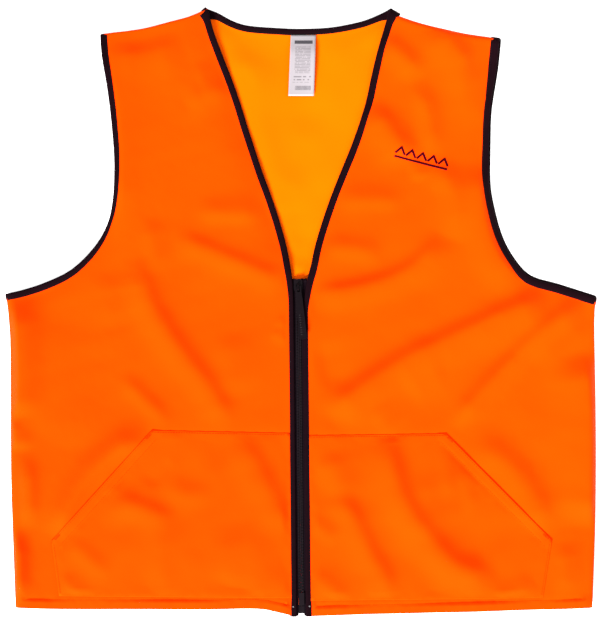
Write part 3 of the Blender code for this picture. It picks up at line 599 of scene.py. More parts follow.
def capsules(name, bits, mat, radius=0.2, lift=0.08):
    """Short rounded lengths of thread, each given by its two ends and the way up."""
    ring = [(math.cos(a), math.sin(a)) for a in np.linspace(0, 2 * math.pi, 7)[:-1]]
    shape = [(-0.5, 0.35, -0.6), (-0.36, 0.85, -0.1), (0.0, 1.0, 0.25), (0.36, 0.85, -0.1),
             (0.5, 0.35, -0.6)]
    verts, faces = [], []
    for p0, p1, up in bits:
        t = p1 - p0
        length = np.linalg.norm(t)
        if length < 1e-6:
            continue
        t = t / length
        w = np.cross(up, t)
        w /= np.linalg.norm(w)
        up = np.cross(t, w)
        mid = (p0 + p1) / 2
        base = len(verts)
        for x, r, h in shape:
            for cx, cy in ring:
                verts.append(mid + t * (x * length) + w * (cx * r * radius)
                             + up * (cy * r * radius + lift + h * radius * 0.6))
        rows = len(shape)
        for i in range(rows - 1):
            for q in range(6):
                r_ = (q + 1) % 6
                faces.append((base + i * 6 + q, base + (i + 1) * 6 + q,
                              base + (i + 1) * 6 + r_, base + i * 6 + r_))
        faces.append(tuple(base + q for q in range(6)))
        faces.append(tuple(base + (rows - 1) * 6 + q for q in range(5, -1, -1)))
    return new_object(name, verts, faces, [mat])


def thread(name, points, ups, mat, pitch=3.0, length=2.3, radius=0.2, lift=0.08):
    """A row of stitches along a 3-D line."""
    seg = np.linalg.norm(np.diff(points, axis=0), axis=1)
    s = np.concatenate([[0], np.cumsum(seg)])
    bits = []
    for c in range(int((s[-1] - 1.0) / pitch)):
        at = 0.8 + c * pitch + length / 2
        ends = [np.array([np.interp(at + e * length, s, points[:, k]) for k in range(3)])
                for e in (-0.5, 0.5)]
        bits.append((ends[0], ends[1],
                     np.array([np.interp(at, s, ups[:, k]) for k in range(3)])))
    return capsules(name, bits, mat, radius, lift)


# ------------------------------------------------------------------ materials
def nodes_of(name):
    m = bpy.data.materials.new(name)
    m.use_nodes = True
    t = m.node_tree
    return m, t, t.nodes["Principled BSDF"]


def ramp_between(t, fac, a, b):
    mix = t.nodes.new("ShaderNodeMix")
    mix.data_type = "RGBA"
    t.links.new(fac, mix.inputs["Factor"])
    mix.inputs["A"].default_value = (*a, 1)
    mix.inputs["B"].default_value = (*b, 1)
    return mix.outputs["Result"]


def math_node(t, op, a, b=None):
    n = t.nodes.new("ShaderNodeMath")
    n.operation = op
    for i, v in enumerate((a, b)):
        if v is None:
            continue
        if isinstance(v, (int, float)):
            n.inputs[i].default_value = v
        else:
            t.links.new(v, n.inputs[i])
    return n.outputs[0]


def woven(name, colour, shade, rough=0.85, pitch=0.55, sheen=0.15, depth=0.00008, fuzz=0.5,
          uv=False, diagonal=False, tint=None, spec=0.25):
    """Cloth: crossing threads at their real pitch, brushed fibres and a slow change of tone."""
    m, t, bsdf = nodes_of(name)
    if uv:
        src = t.nodes.new("ShaderNodeUVMap")
        src.uv_map = "weave"
        co, unit = src.outputs[0], 1.0
    else:
        src = t.nodes.new("ShaderNodeTexCoord")
        co, unit = src.outputs["Object"], 1000.0
    fib = []
    for axis in ("X", "Y"):
        w = t.nodes.new("ShaderNodeTexWave")
        w.wave_type = "BANDS"
        w.bands_direction = "DIAGONAL" if diagonal and axis == "X" else axis
        w.inputs["Scale"].default_value = unit / pitch / 3.18 / 2
        w.inputs["Distortion"].default_value = 0.6
        w.inputs["Detail"].default_value = 1.0
        t.links.new(co, w.inputs["Vector"])
        fib.append(w.outputs["Fac"])
    weave = math_node(t, "MULTIPLY", fib[0], fib[1])
    fine = t.nodes.new("ShaderNodeTexNoise")
    fine.inputs["Scale"].default_value = unit * 1.6
    fine.inputs["Detail"].default_value = 3
    t.links.new(co, fine.inputs["Vector"])
    slow = t.nodes.new("ShaderNodeTexNoise")
    slow.inputs["Scale"].default_value = unit * 0.011
    slow.inputs["Detail"].default_value = 4
    t.links.new(co, slow.inputs["Vector"])
    tone = math_node(t, "ADD", math_node(t, "MULTIPLY", slow.outputs["Fac"], 0.75),
                     math_node(t, "MULTIPLY", fine.outputs["Fac"], 0.25))
    tone = math_node(t, "ADD", math_node(t, "MULTIPLY", tone, 0.8),
                     math_node(t, "MULTIPLY", weave, 0.25))
    t.links.new(ramp_between(t, tone, shade, colour), bsdf.inputs["Base Color"])
    height = math_node(t, "ADD", weave, math_node(t, "MULTIPLY", fine.outputs["Fac"], fuzz))
    bump = t.nodes.new("ShaderNodeBump")
    bump.inputs["Strength"].default_value = 0.5
    bump.inputs["Distance"].default_value = depth
    t.links.new(height, bump.inputs["Height"])
    t.links.new(bump.outputs["Normal"], bsdf.inputs["Normal"])
    r = math_node(t, "ADD", math_node(t, "MULTIPLY", fine.outputs["Fac"], 0.12), rough - 0.06)
    t.links.new(r, bsdf.inputs["Roughness"])
    bsdf.inputs["Sheen Weight"].default_value = sheen
    bsdf.inputs["Sheen Roughness"].default_value = 0.5
    if tint:
        bsdf.inputs["Sheen Tint"].default_value = (*tint, 1)
        bsdf.inputs["Specular Tint"].default_value = (*tint, 1)
    bsdf.inputs["Specular IOR Level"].default_value = spec
    return m


def moulded(name, colour, light, rough=0.38, grain=900.0, metal=0.0, coat=0.0, spec=0.5):
    """Moulded plastic or enamel: fine grain, slight mottling and rubbed lighter patches."""
    m, t, bsdf = nodes_of(name)
    src = t.nodes.new("ShaderNodeTexCoord")
    co = src.outputs["Object"]
    a = t.nodes.new("ShaderNodeTexNoise")
    a.inputs["Scale"].default_value = grain
    a.inputs["Detail"].default_value = 4
    t.links.new(co, a.inputs["Vector"])
    b = t.nodes.new("ShaderNodeTexNoise")
    b.inputs["Scale"].default_value = grain / 9
    b.inputs["Detail"].default_value = 3
    t.links.new(co, b.inputs["Vector"])
    t.links.new(ramp_between(t, b.outputs["Fac"], colour, light), bsdf.inputs["Base Color"])
    r = math_node(t, "ADD", math_node(t, "MULTIPLY", a.outputs["Fac"], 0.25), rough - 0.12)
    t.links.new(r, bsdf.inputs["Roughness"])
    bump = t.nodes.new("ShaderNodeBump")
    bump.inputs["Strength"].default_value = 0.25
    bump.inputs["Distance"].default_value = 0.00004
    t.links.new(a.outputs["Fac"], bump.inputs["Height"])
    t.links.new(bump.outputs["Normal"], bsdf.inputs["Normal"])
    bsdf.inputs["Metallic"].default_value = metal
    bsdf.inputs["Coat Weight"].default_value = coat
    bsdf.inputs["Specular IOR Level"].default_value = spec
    return m


ORANGE = woven("blaze_cloth", (1.0, 0.050, 0.0), (1.0, 0.036, 0.0), tint=(1.0, 0.06, 0.0),
               spec=0.08, sheen=0.08)
AMBER = woven("blaze_cloth_inside", (1.0, 0.120, 0.0), (1.0, 0.095, 0.0), fuzz=0.9,
              tint=(1.0, 0.15, 0.0), spec=0.08, sheen=0.08)
BLACK = woven("binding_weave", (0.0068, 0.0016, 0.0030), (0.0034, 0.0007, 0.0014), rough=0.75,
              pitch=0.7, sheen=0.0, depth=0.00012, uv=True, spec=0.04, tint=(0.8, 0.5, 0.6))
TAPE = woven("zipper_tape_weave", (0.0062, 0.0026, 0.0048), (0.0028, 0.0011, 0.0022), rough=0.75,
             pitch=0.8, sheen=0.0, depth=0.00014, diagonal=True, spec=0.04, tint=(0.8, 0.6, 0.7))
BLACK_THREAD = woven("black_thread", (0.011, 0.004, 0.007), (0.005, 0.0018, 0.003), rough=0.55,
                     pitch=0.25, sheen=0.0, spec=0.08)
PALE_THREAD = woven("pale_thread", (0.20, 0.19, 0.19), (0.14, 0.13, 0.13), rough=0.6, pitch=0.25,
                    sheen=0.0, spec=0.1)
ORANGE_THREAD = woven("orange_thread", (0.95, 0.036, 0.0), (0.85, 0.026, 0.0), rough=0.6,
                      pitch=0.25, tint=(1.0, 0.05, 0.0), spec=0.1, sheen=0.0)
TACK_THREAD = woven("bartack_thread", (1.0, 0.042, 0.0), (0.9, 0.028, 0.0), rough=0.55,
                    pitch=0.25, tint=(1.0, 0.05, 0.0), spec=0.1, sheen=0.0)
TOOTH = moulded("acetal_teeth", (0.0036, 0.0016, 0.0028), (0.0076, 0.0044, 0.0062), rough=0.36,
                spec=0.09)
ENAMEL = moulded("slider_enamel", (0.0026, 0.0012, 0.0020), (0.0052, 0.0030, 0.0044), rough=0.36,
                 grain=1400, coat=0.0, spec=0.07)
MAROON = woven("motif_thread_silk", (0.050, 0.0012, 0.0050), (0.024, 0.0004, 0.0022), rough=0.5,
               pitch=0.35, sheen=0.0, spec=0.1, tint=(0.6, 0.05, 0.1))


def label_material():
    """White satin tape with plain grey bars: no letters, only rows of short blocks."""
    m, t, bsdf = nodes_of("label_satin")
    src = t.nodes.new("ShaderNodeUVMap")
    src.uv_map = "weave"
    sep = t.nodes.new("ShaderNodeSeparateXYZ")
    t.links.new(src.outputs[0], sep.inputs[0])
    x, y = sep.outputs[0], sep.outputs[1]          # millimetres across and down the label

    def band(v, lo, hi):
        return math_node(t, "MULTIPLY", math_node(t, "GREATER_THAN", v, lo),
                         math_node(t, "LESS_THAN", v, hi))

    def rows(lo, hi, pitch, fill):
        f = math_node(t, "FRACT", math_node(t, "DIVIDE", y, pitch))
        return math_node(t, "MULTIPLY", band(y, lo, hi), math_node(t, "LESS_THAN", f, fill))

    def blocks(size, share, seed):
        cell = t.nodes.new("ShaderNodeCombineXYZ")
        t.links.new(math_node(t, "FLOOR", math_node(t, "DIVIDE", x, size)), cell.inputs[0])
        t.links.new(math_node(t, "FLOOR", math_node(t, "DIVIDE", y, 1.55)), cell.inputs[1])
        cell.inputs[2].default_value = seed
        w = t.nodes.new("ShaderNodeTexWhiteNoise")
        w.noise_dimensions = "3D"
        t.links.new(cell.outputs[0], w.inputs["Vector"])
        return math_node(t, "LESS_THAN", w.outputs["Value"], share)

    small = math_node(t, "MULTIPLY", math_node(t, "MULTIPLY", rows(12.4, 40.5, 1.55, 0.52),
                                               band(x, 5.6, 23.0)), blocks(0.8, 0.86, 1.0))
    mid = math_node(t, "MULTIPLY", math_node(t, "MULTIPLY", rows(43.4, 50.0, 3.1, 0.4),
                                             band(x, 4.0, 24.0)), blocks(1.7, 0.6, 2.0))
    head = math_node(t, "MULTIPLY", band(y, 5.8, 9.4), band(x, 4.6, 24.6))
    head = math_node(t, "MULTIPLY", head, blocks(60.0, 1.1, 3.0))
    foot_x = math_node(t, "FRACT", math_node(t, "DIVIDE", x, 1.3))
    foot = math_node(t, "MULTIPLY", math_node(t, "MULTIPLY", band(y, 53.5, 58.0),
                                              band(x, 7.0, 24.0)),
                     math_node(t, "LESS_THAN", foot_x, 0.55))
    ink = math_node(t, "MAXIMUM", math_node(t, "MULTIPLY", small, 0.46),
                    math_node(t, "MULTIPLY", mid, 0.55))
    ink = math_node(t, "MAXIMUM", ink, math_node(t, "MULTIPLY", head, 0.92))
    ink = math_node(t, "MAXIMUM", ink, math_node(t, "MULTIPLY", foot, 0.8))
    w = t.nodes.new("ShaderNodeTexWave")
    w.bands_direction = "X"
    w.inputs["Scale"].default_value = 0.7
    w.inputs["Distortion"].default_value = 0.4
    t.links.new(src.outputs[0], w.inputs["Vector"])
    ground = ramp_between(t, w.outputs["Fac"], (0.248, 0.222, 0.238), (0.278, 0.250, 0.266))
    mix = t.nodes.new("ShaderNodeMix")
    mix.data_type = "RGBA"
    t.links.new(ink, mix.inputs["Factor"])
    t.links.new(ground, mix.inputs["A"])
    mix.inputs["B"].default_value = (0.010, 0.008, 0.014, 1)
    t.links.new(mix.outputs["Result"], bsdf.inputs["Base Color"])
    bump = t.nodes.new("ShaderNodeBump")
    bump.inputs["Strength"].default_value = 0.3
    bump.inputs["Distance"].default_value = 0.00005
    t.links.new(w.outputs["Fac"], bump.inputs["Height"])
    t.links.new(bump.outputs["Normal"], bsdf.inputs["Normal"])
    bsdf.inputs["Roughness"].default_value = 0.5
    bsdf.inputs["Sheen Weight"].default_value = 0.1
    return m


# ------------------------------------------------------------------ front and back cloth
RINGS = [0.9, 2.2, 4.0, 6.2, 8.2, 9.6, 10.8, 13.2]
FRONT_NODES = {s: [w + "_front_panel", w + "_front_side"] for s, w in (("r", "right"), ("l", "left"))}
WORD = {"r": "right", "l": "left"}


def fold_points(s, reach=15.0, step=2.6, across=2.4):
    top, foot = fold[s]
    d = foot - top
    ll = np.linalg.norm(d)
    d = d / ll
    n = fold_dir(s)
    out = []
    for i, o in enumerate(np.arange(-reach, reach + 0.1, across)):
        t = np.arange(2, ll - 2, step) + (step / 2 if i % 2 else 0)
        out.append(top + d * t[:, None] + n * o)
    return np.concatenate(out)


def front_blend(obj):
    """Bakes the object's placement into its mesh."""
    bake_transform(obj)


for s in "rl":
    e_side, e_sh = offset(side[s], 0.8), offset(shoulder[s], 0.8)
    e_arm, e_hem = offset(arm[s], EDGE_IN), offset(hem[s], 0.1)
    if s == "r":
        loop = outline(e_hem, offset(front_edge[s][::-1], EDGE_IN), e_sh, e_arm, e_side)
    else:
        loop = outline(e_hem, e_side, e_arm, e_sh, offset(front_edge[s], EDGE_IN))
    rows = [fold_points(s)]
    pk = pocket_loop(s)
    ring = np.concatenate([resample(np.array([a, b]), 2.6)[:-1] for a, b in zip(pk, np.roll(pk, -1, 0))])
    t = np.roll(ring, -1, 0) - np.roll(ring, 1, 0)
    t /= np.linalg.norm(t, axis=1)[:, None]
    for gap in (-3.2, -1.9, -0.9, 0.1, 1.4):
        rows.append(ring + np.stack([t[:, 1], -t[:, 0]], 1) * (gap if s == "l" else -gap))
    co, faces = plane_mesh(loop, RINGS, 4.2, np.concatenate(rows))
    z = front_z(co, s)
    cloth = thick_cloth(WORD[s] + "_front_cloth", co, faces, z, ORANGE, AMBER)
    front_blend(cloth)
    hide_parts(*FRONT_NODES[s])

loop = outline(offset(back_hem, 0.1), offset(side["l"], 0.8), offset(back_arm["l"], EDGE_IN),
               offset(shoulder["l"], 0.8), offset(back_neck, EDGE_IN), offset(shoulder["r"], 0.8),
               offset(back_arm["r"], EDGE_IN), offset(side["r"], 0.8), step=4.6)
co, faces = plane_mesh(loop, RINGS, 6.0)
cloth = thick_cloth("back_cloth", co, faces, back_z(co), AMBER, ORANGE)
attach(cloth, "back")
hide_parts("back_panel")


# ------------------------------------------------------------------ edges in space
def edge_frames(line, height, outward, inward_sign, spacing=1.6):
    """Points on a cloth edge with their inward direction and outer normal, from its height field."""
    p = resample(line, 0.7)
    nn = normals(p) * inward_sign
    probe = p + nn * EDGE_IN
    z = height(probe)
    e = 0.25
    gx = (height(probe + (e, 0)) - height(probe - (e, 0))) / (2 * e)
    gy = (height(probe + (0, e)) - height(probe - (0, e))) / (2 * e)
    inner = np.maximum(height(p + nn * 6.2), height(p + nn * 4.4))
    more = (inner - z) / (6.2 - EDGE_IN) - (gx * nn[:, 0] + gy * nn[:, 1])
    gx, gy = gx + more * nn[:, 0], gy + more * nn[:, 1]
    n = np.stack([-gx, -gy, np.ones(len(p))], 1) * outward
    n /= np.linalg.norm(n, axis=1)[:, None]
    pos = np.column_stack([p, z])
    return pos, n, np.column_stack([nn, np.zeros(len(p))])


def tidy(pos, n, hint, closed_loop, step, blur=5):
    """Evens out the points of a strip's line and squares up its frames."""
    if closed_loop:
        pos, n, hint = (np.concatenate([a, a[:1]]) for a in (pos, n, hint))
    seg = np.linalg.norm(np.diff(pos, axis=0), axis=1)
    s = np.concatenate([[0], np.cumsum(seg)])
    count = max(8, int(s[-1] / step))
    t = np.linspace(0, s[-1], count + 1)
    out = []
    for a in (pos, n, hint):
        out.append(np.stack([np.interp(t, s, a[:, k]) for k in range(3)], 1))
    if closed_loop:
        out = [a[:-1] for a in out]
    pos, n, hint = out

    def blurred(a, times):
        for _ in range(times):
            if closed_loop:
                a = (np.roll(a, 1, 0) + 2 * a + np.roll(a, -1, 0)) / 4
            else:
                b = a.copy()
                b[1:-1] = (a[:-2] + 2 * a[1:-1] + a[2:]) / 4
                a = b
        return a

    pos, n, hint = blurred(pos, 2), blurred(n, blur), blurred(hint, blur)
    if closed_loop:
        tan = np.roll(pos, -1, 0) - np.roll(pos, 1, 0)
    else:
        tan = np.gradient(pos, axis=0)
    tan /= np.linalg.norm(tan, axis=1)[:, None]
    n = n - (n * tan).sum(1)[:, None] * tan
    n /= np.maximum(np.linalg.norm(n, axis=1), 1e-9)[:, None]
    d = np.cross(n, tan)
    d *= np.sign((d * hint).sum(1))[:, None]
    return pos, d, n


HALF = 1.15
TAPE_SECTION = ([(BIND, 0.52), (BIND - 0.12, 0.86), (BIND - 0.55, 0.98), (BIND - 1.0, 0.80),
                 (BIND - 1.45, 0.98), (3.0, 1.10), (2.0, HALF), (1.0, HALF + 0.03), (0.35, 0.95),
                 (0.02, 0.5), (-0.08, 0.0), (0.02, -0.5), (0.35, -0.95), (1.0, -HALF - 0.03),
                 (2.0, -HALF), (3.0, -1.10), (BIND - 1.45, -0.98), (BIND - 1.0, -0.80),
                 (BIND - 0.55, -0.98), (BIND - 0.12, -0.86), (BIND, -0.52)]
                + [(0.9, -0.47), (0.9, 0.47)])


def bound_edge(name, pos, d, n, closed_loop, wide):
    ripple = 0.09 * np.sin(np.arange(len(pos)) * 0.9) + 0.07 * np.sin(np.arange(len(pos)) * 0.37)
    p = pos + n * ripple[:, None] * 0.6
    piece = strip(name, p, d, n, TAPE_SECTION, [BLACK], closed_loop, wide=wide)
    length = float(np.linalg.norm(np.diff(pos, axis=0), axis=1).sum()) * MM
    across = (2 * BIND * float(wide.mean()) + 2.3) * MM
    return piece, (across, length)


def stitch_on(pos, d, n, closed_loop, wide, flip=False):
    at = (BIND - 1.0) * wide
    k = -1.0 if flip else 1.0
    q, up = pos + d * at[:, None] + n * 0.80 * k, n * k
    if closed_loop:
        q, up = (np.concatenate([a, a[:1]]) for a in (q, up))
    return q, up


def around_corner(b_pos, b_n, b_h, f_pos, f_n, f_h, bulge, lift=1.6):
    """Joins a binding's run along the back to its run along the front, round the outside."""
    a, b = b_pos[-1], f_pos[0]
    run_b = b_pos[-1] - b_pos[-6]
    run_f = f_pos[0] - f_pos[5]
    out = run_b / np.linalg.norm(run_b) + run_f / np.linalg.norm(run_f)
    out[2] = 0
    out /= max(np.linalg.norm(out), 1e-6)
    mids, ns, hs = [], [], []
    for t in (0.2, 0.4, 0.6, 0.8):
        mids.append(a * (1 - t) + b * t + out * bulge * math.sin(math.pi * t))
        m = b_n[-1] * math.cos(math.pi * t / 2) + f_n[0] * math.sin(math.pi * t / 2) \
            + out * math.sin(math.pi * t) * 1.2
        ns.append(m / np.linalg.norm(m))
        hs.append(b_h[-1] * (1 - t) + f_h[0] * t)
    return (np.concatenate([b_pos, mids, f_pos]), np.concatenate([b_n, ns, f_n]),
            np.concatenate([b_h, hs, f_h]))


# armhole bindings, one closed loop each
WIDE = BIND_WIDE / BIND
for s in "rl":
    f_pos, f_n, f_h = edge_frames(arm[s], lambda q, s=s: front_z(q, s), 1.0, 1.0)
    b_pos, b_n, b_h = edge_frames(back_arm[s], back_z, -1.0, 1.0)
    f_pos, f_n, f_h = f_pos[1:-1], f_n[1:-1], f_h[1:-1]
    b_pos, b_n, b_h = b_pos[1:-1][::-1], b_n[1:-1][::-1], b_h[1:-1][::-1]
    pos, n, hint = around_corner(f_pos, f_n, f_h, b_pos, b_n, b_h, 0.6)
    pos, d, n = tidy(pos, n, hint, True, 1.7)
    wide = np.full(len(pos), WIDE)
    if s == "r":                       # turned further round to the inside along the upright part
        wide = WIDE * np.interp(pos[:, 1], [35, 60, 95, 140, 185, 225, 270],
                                [1.04, 0.90, 0.60, 0.76, 0.88, 0.93, 1.03])
    else:
        wide = WIDE * np.interp(pos[:, 1], [18, 60, 98, 141, 184, 227, 262, 285],
                                [1.12, 1.06, 1.10, 1.12, 0.95, 0.95, 1.30, 1.30])
    piece, flat = bound_edge(WORD[s] + "_armhole_tape", pos, d, n, True, wide)
    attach(piece, "back")
    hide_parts(WORD[s] + "_armhole_binding")
    for tag, flip in (("outer", False), ("inner", True)):
        q, up = stitch_on(pos, d, n, True, wide, flip)
        st = thread("%s_armhole_stitches_%s" % (WORD[s], tag), q, up, BLACK_THREAD)
        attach(st, "back")

# neck and front bindings: from the centre back over the shoulder and down to the hem
bound = {}
half_neck = {"r": back_neck[back_neck[:, 0] <= 1.0], "l": back_neck[back_neck[:, 0] >= -4.0][::-1]}
for s in "rl":
    hn = half_neck[s]
    b_pos, b_n, b_h = edge_frames(hn, back_z, -1.0, 1.0 if s == "r" else -1.0)
    fe = front_edge[s]
    f_pos, f_n, f_h = edge_frames(fe, lambda q, s=s: front_z(q, s), 1.0, -1.0 if s == "r" else 1.0)
    pos, n, hint = around_corner(b_pos[:-1], b_n[:-1], b_h[:-1], f_pos[1:], f_n[1:], f_h[1:], 3.6)
    pos, d, n = tidy(pos, n, hint, False, 1.7)
    corner = np.linalg.norm(pos[:, :2] - front_edge[s][0], axis=1)
    y_end = front_edge[s][-1][1]
    down = (pos[:, 1] > ZT[1] - V_MEETS[s] - 5) | (n[:, 2] < 0)
    grow = np.where(n[:, 2] > 0, 1.06, 0.94) if s == "l" else 1.0
    wide = 1 + (WIDE * grow - 1) * np.where(down, step01((pos[:, 1] - (ZT[1] - V_MEETS[s])) / 45), 0.0) \
        + 0.13 * step01((y_end + 30 - pos[:, 1]) / 22) + 0.85 * np.exp(-(corner / 8) ** 2)
    k = int(corner.argmin())
    bound[s] = (pos, d, n, wide, k)
    part = slice(max(k - 2, 0), None)
    piece, flat = bound_edge(WORD[s] + "_front_tape", pos[part], d[part], n[part], False, wide[part])
    front_blend(piece)
    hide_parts(WORD[s] + "_front_binding")
    for tag, flip in (("outer", False), ("inner", True)):
        q, up = stitch_on(pos[part], d[part], n[part], False, wide[part], flip)
        st = thread("%s_front_stitches_%s" % (WORD[s], tag), q, up, BLACK_THREAD)
        front_blend(st)

# the back neck's own length stays with the back, from one shoulder corner to the other
(pos_r, d_r, n_r, wide_r, k_r), (pos_l, d_l, n_l, wide_l, k_l) = bound["r"], bound["l"]
keep = pos_l[:k_l + 1, 0] > pos_r[0, 0] + 0.8
pos, d, n = (np.concatenate([u[:k_r + 1][::-1], v[:k_l + 1][keep]])
             for u, v in ((pos_r, pos_l), (d_r, d_l), (n_r, n_l)))
wide = np.concatenate([wide_r[:k_r + 1][::-1], wide_l[:k_l + 1][keep]])
for _ in range(4):
    wide[1:-1] = (wide[:-2] + 2 * wide[1:-1] + wide[2:]) / 4
piece, flat = bound_edge("neck_tape", pos, d, n, False, wide * 0.98)
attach(piece, "back")
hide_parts("neck_binding")
for tag, flip in (("outer", False), ("inner", True)):
    q, up = stitch_on(pos, d, n, False, wide * 0.98, flip)
    st = thread("neck_stitches_" + tag, q, up, BLACK_THREAD)
    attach(st, "back")

# ------------------------------------------------------------------ seams
OVAL = [(0.95 * math.cos(a), 2.35 * math.sin(a)) for a in np.linspace(0, 2 * math.pi, 15)[:-1]]
for s in "rl":
    for line, node in ((side[s], "side_seam"), (shoulder[s], "shoulder_seam")):
        p = resample(offset(line, 0.95), 3.0)
        t0 = 2 if node == "shoulder_seam" else 1
        p = p[t0:-t0]
        wob = 0.12 * np.sin(np.arange(len(p)) * 0.8)
        top_z = seam_top(p, s) if node == "shoulder_seam" else np.full(len(p), SEAM_F)
        pos = np.column_stack([p, (top_z + SEAM_B) / 2 + wob])
        d = np.column_stack([normals(p), np.zeros(len(p))])
        up = np.column_stack([np.zeros((len(p), 2)), (top_z - SEAM_B + 1.4) / 4.7])
        piece = strip("%s_%s_roll" % (WORD[s], node), pos, d, up, OVAL, [ORANGE], False)
        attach(piece, "back")
        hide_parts("%s_%s" % (WORD[s], node))


# ------------------------------------------------------------------ pockets
def pocket_z(p, s, lines):
    p = np.asarray(p, float)
    top, inner, bottom, outer, mouth = lines
    base = front_z(p, s, hemmed=False)
    d_sewn = np.minimum.reduce([near(p, e)[0] for e in (top, inner, bottom, outer)])
    d_mouth, along = near(p, mouth)
    span = np.linalg.norm(mouth[0] - mouth[1])
    gape = np.sin(np.clip(along / span, 0, 1) * math.pi)
    z = base + 0.92 + 1.5 * step01(d_sewn / 46) * step01((d_mouth - 6) / 34)
    z += 0.35 * gape * np.exp(-(d_mouth / 12) ** 2)
    z += 0.35 * step01((10.6 - d_mouth) / 1.6) - 0.75 * np.exp(-((d_mouth - 11.0) / 1.1) ** 2)
    z += 0.24 * np.exp(-((d_mouth - 11.0) / 4.5) ** 2) * np.sin(along / 2.1 + np.sin(along / 9))
    quiet = step01(d_sewn / 9) * step01((d_mouth - 3) / 12)
    z += quiet * (0.85 * creased(p, POCKET_FOLDS[s])
                  + 0.3 * waves(p, 51 if s == "r" else 52, 14, 30, 90))
    z -= 0.14 * np.exp(-((d_sewn - 2.2) / 1.0) ** 2)
    z += 0.18 * np.exp(-(d_sewn / 5.0) ** 2) * np.sin((p[:, 0] + p[:, 1]) / 2.4)
    pressed = np.exp(-(d_sewn / 1.5) ** 2) * step01((d_mouth - 0.5) / 3)
    return np.minimum(np.maximum(z, base + 0.88) - 0.26 * pressed, 22.5)


pocket_fields = {}
for s, sign in (("r", -1), ("l", 1)):
    to, ti, bi, bo, mf = [np.array(q, float) + (SX, SY) for q in POCKET[s]]
    edge = np.array([ZT + zip_down * k + zip_right * (sign * (ZIP_EDGE + BIND + 0.1))
                     for k in (140.0, 360.0)])
    ring = [np.array([to, ti]), edge, np.array([bi, bo]), np.array([bo, mf]), np.array([mf, to])]
    if s == "l":
        ring_ccw = [e for e in ring]
    loop = outline(*ring, step=4.0)
    area2 = (loop[:, 0] * np.roll(loop[:, 1], -1) - loop[:, 1] * np.roll(loop[:, 0], -1)).sum()
    if area2 < 0:
        loop = loop[::-1]
    lines = (ring[0], edge, ring[2], ring[3], ring[4])
    co, faces = plane_mesh(loop, [0.9, 2.2, 3.6, 6.0, 8.6, 10.0, 11.2, 13.4], 5.0)
    pocket_fields[s] = lines
    sewn = np.minimum.reduce([near(co, e)[0] for e in lines[:4]])
    pressed = np.exp(-(sewn / 1.5) ** 2) * step01((near(co, lines[4])[0] - 0.5) / 3)
    cloth = thick_cloth(WORD[s] + "_pocket_cloth", co, faces, pocket_z(co, s, lines), ORANGE, AMBER,
                        CLOTH - 0.5 * pressed)
    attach(cloth, WORD[s] + "_front")
    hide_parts(WORD[s] + "_pocket")

    # stitch rows: along the sewn edges, and down the turned edge of the mouth
    def sew(tag, line, inset, s=s, lines=lines):
        centre = (to + bi) / 2 if False else loop.mean(0)
        ln = resample(line, 2.0)
        nn = normals(ln)
        if ((centre - ln[len(ln) // 2]) @ nn[len(ln) // 2]) < 0:
            nn = -nn
        q = ln + nn * inset
        ok = inside(q, loop) & (near(q, loop, closed=True)[0] > min(inset, 2.0) * 0.8)
        q = q[ok]
        z = pocket_z(q, s, lines) + CLOTH / 2
        up = np.tile([0.0, 0.0, 1.0], (len(q), 1))
        st = thread("%s_pocket_stitches_%s" % (WORD[s], tag), np.column_stack([q, z]), up,
                    ORANGE_THREAD, pitch=2.8, length=2.2)
        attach(st, WORD[s] + "_front")

    sew("top", ring[0], 2.2)
    sew("outer", ring[3], 2.2)
    sew("mouth", ring[4], 10.0)
    sew("mouth_edge", ring[4], 1.8)

    # bartacks: close cross stitches at the two ends of the mouth
    for tag, end, other in (("upper", to, mf), ("lower", mf, to)):
        run = (other - end) / np.linalg.norm(other - end)
        cross = np.array([-run[1], run[0]])
        if (loop.mean(0) - end) @ cross < 0:
            cross = -cross
        mids = np.array([end + run * (4.0 + 0.5 * k) + cross * 1.9 for k in range(15)])
        zz = pocket_z(np.concatenate([mids - cross * 1.1, mids + cross * 1.1]), s, lines) + 0.45
        up = np.array([0.0, 0.0, 1.0])
        bits = [(np.array([*(m - cross * 1.1), zz[k]]), np.array([*(m + cross * 1.1), zz[k + 15]]), up)
                for k, m in enumerate(mids)]
        core = [(np.array([*(mids[0] + cross * o), zz[0]]), np.array([*(mids[-1] + cross * o), zz[14]]),
                 up) for o in (-0.7, 0.0, 0.7)]
        tack = capsules("%s_pocket_%s_tack" % (WORD[s], tag), bits + core, TACK_THREAD, 0.24, 0.1)
        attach(tack, WORD[s] + "_front")
        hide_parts("%s_pocket_%s_bartack" % (WORD[s], tag))

# the pale ends of the binding's seam, just above the hem
for s, sign, where in (("r", -1, (-8.3, -315.2)), ("l", 1, (9.2, -314.7))):
    at = np.array(where) + (SX, SY)
    zt_ = float(front_z(at[None], s)[0]) + 1.45
    bits = [(np.array([at[0] - 0.9, at[1] + o, zt_]), np.array([at[0] + 0.9, at[1] + o, zt_]),
             np.array([0.0, 0.0, 1.0])) for o in (-0.5, 0.0, 0.5)]
    knot = capsules(WORD[s] + "_binding_end_tack", bits, PALE_THREAD, 0.22, 0.05)
    front_blend(knot)

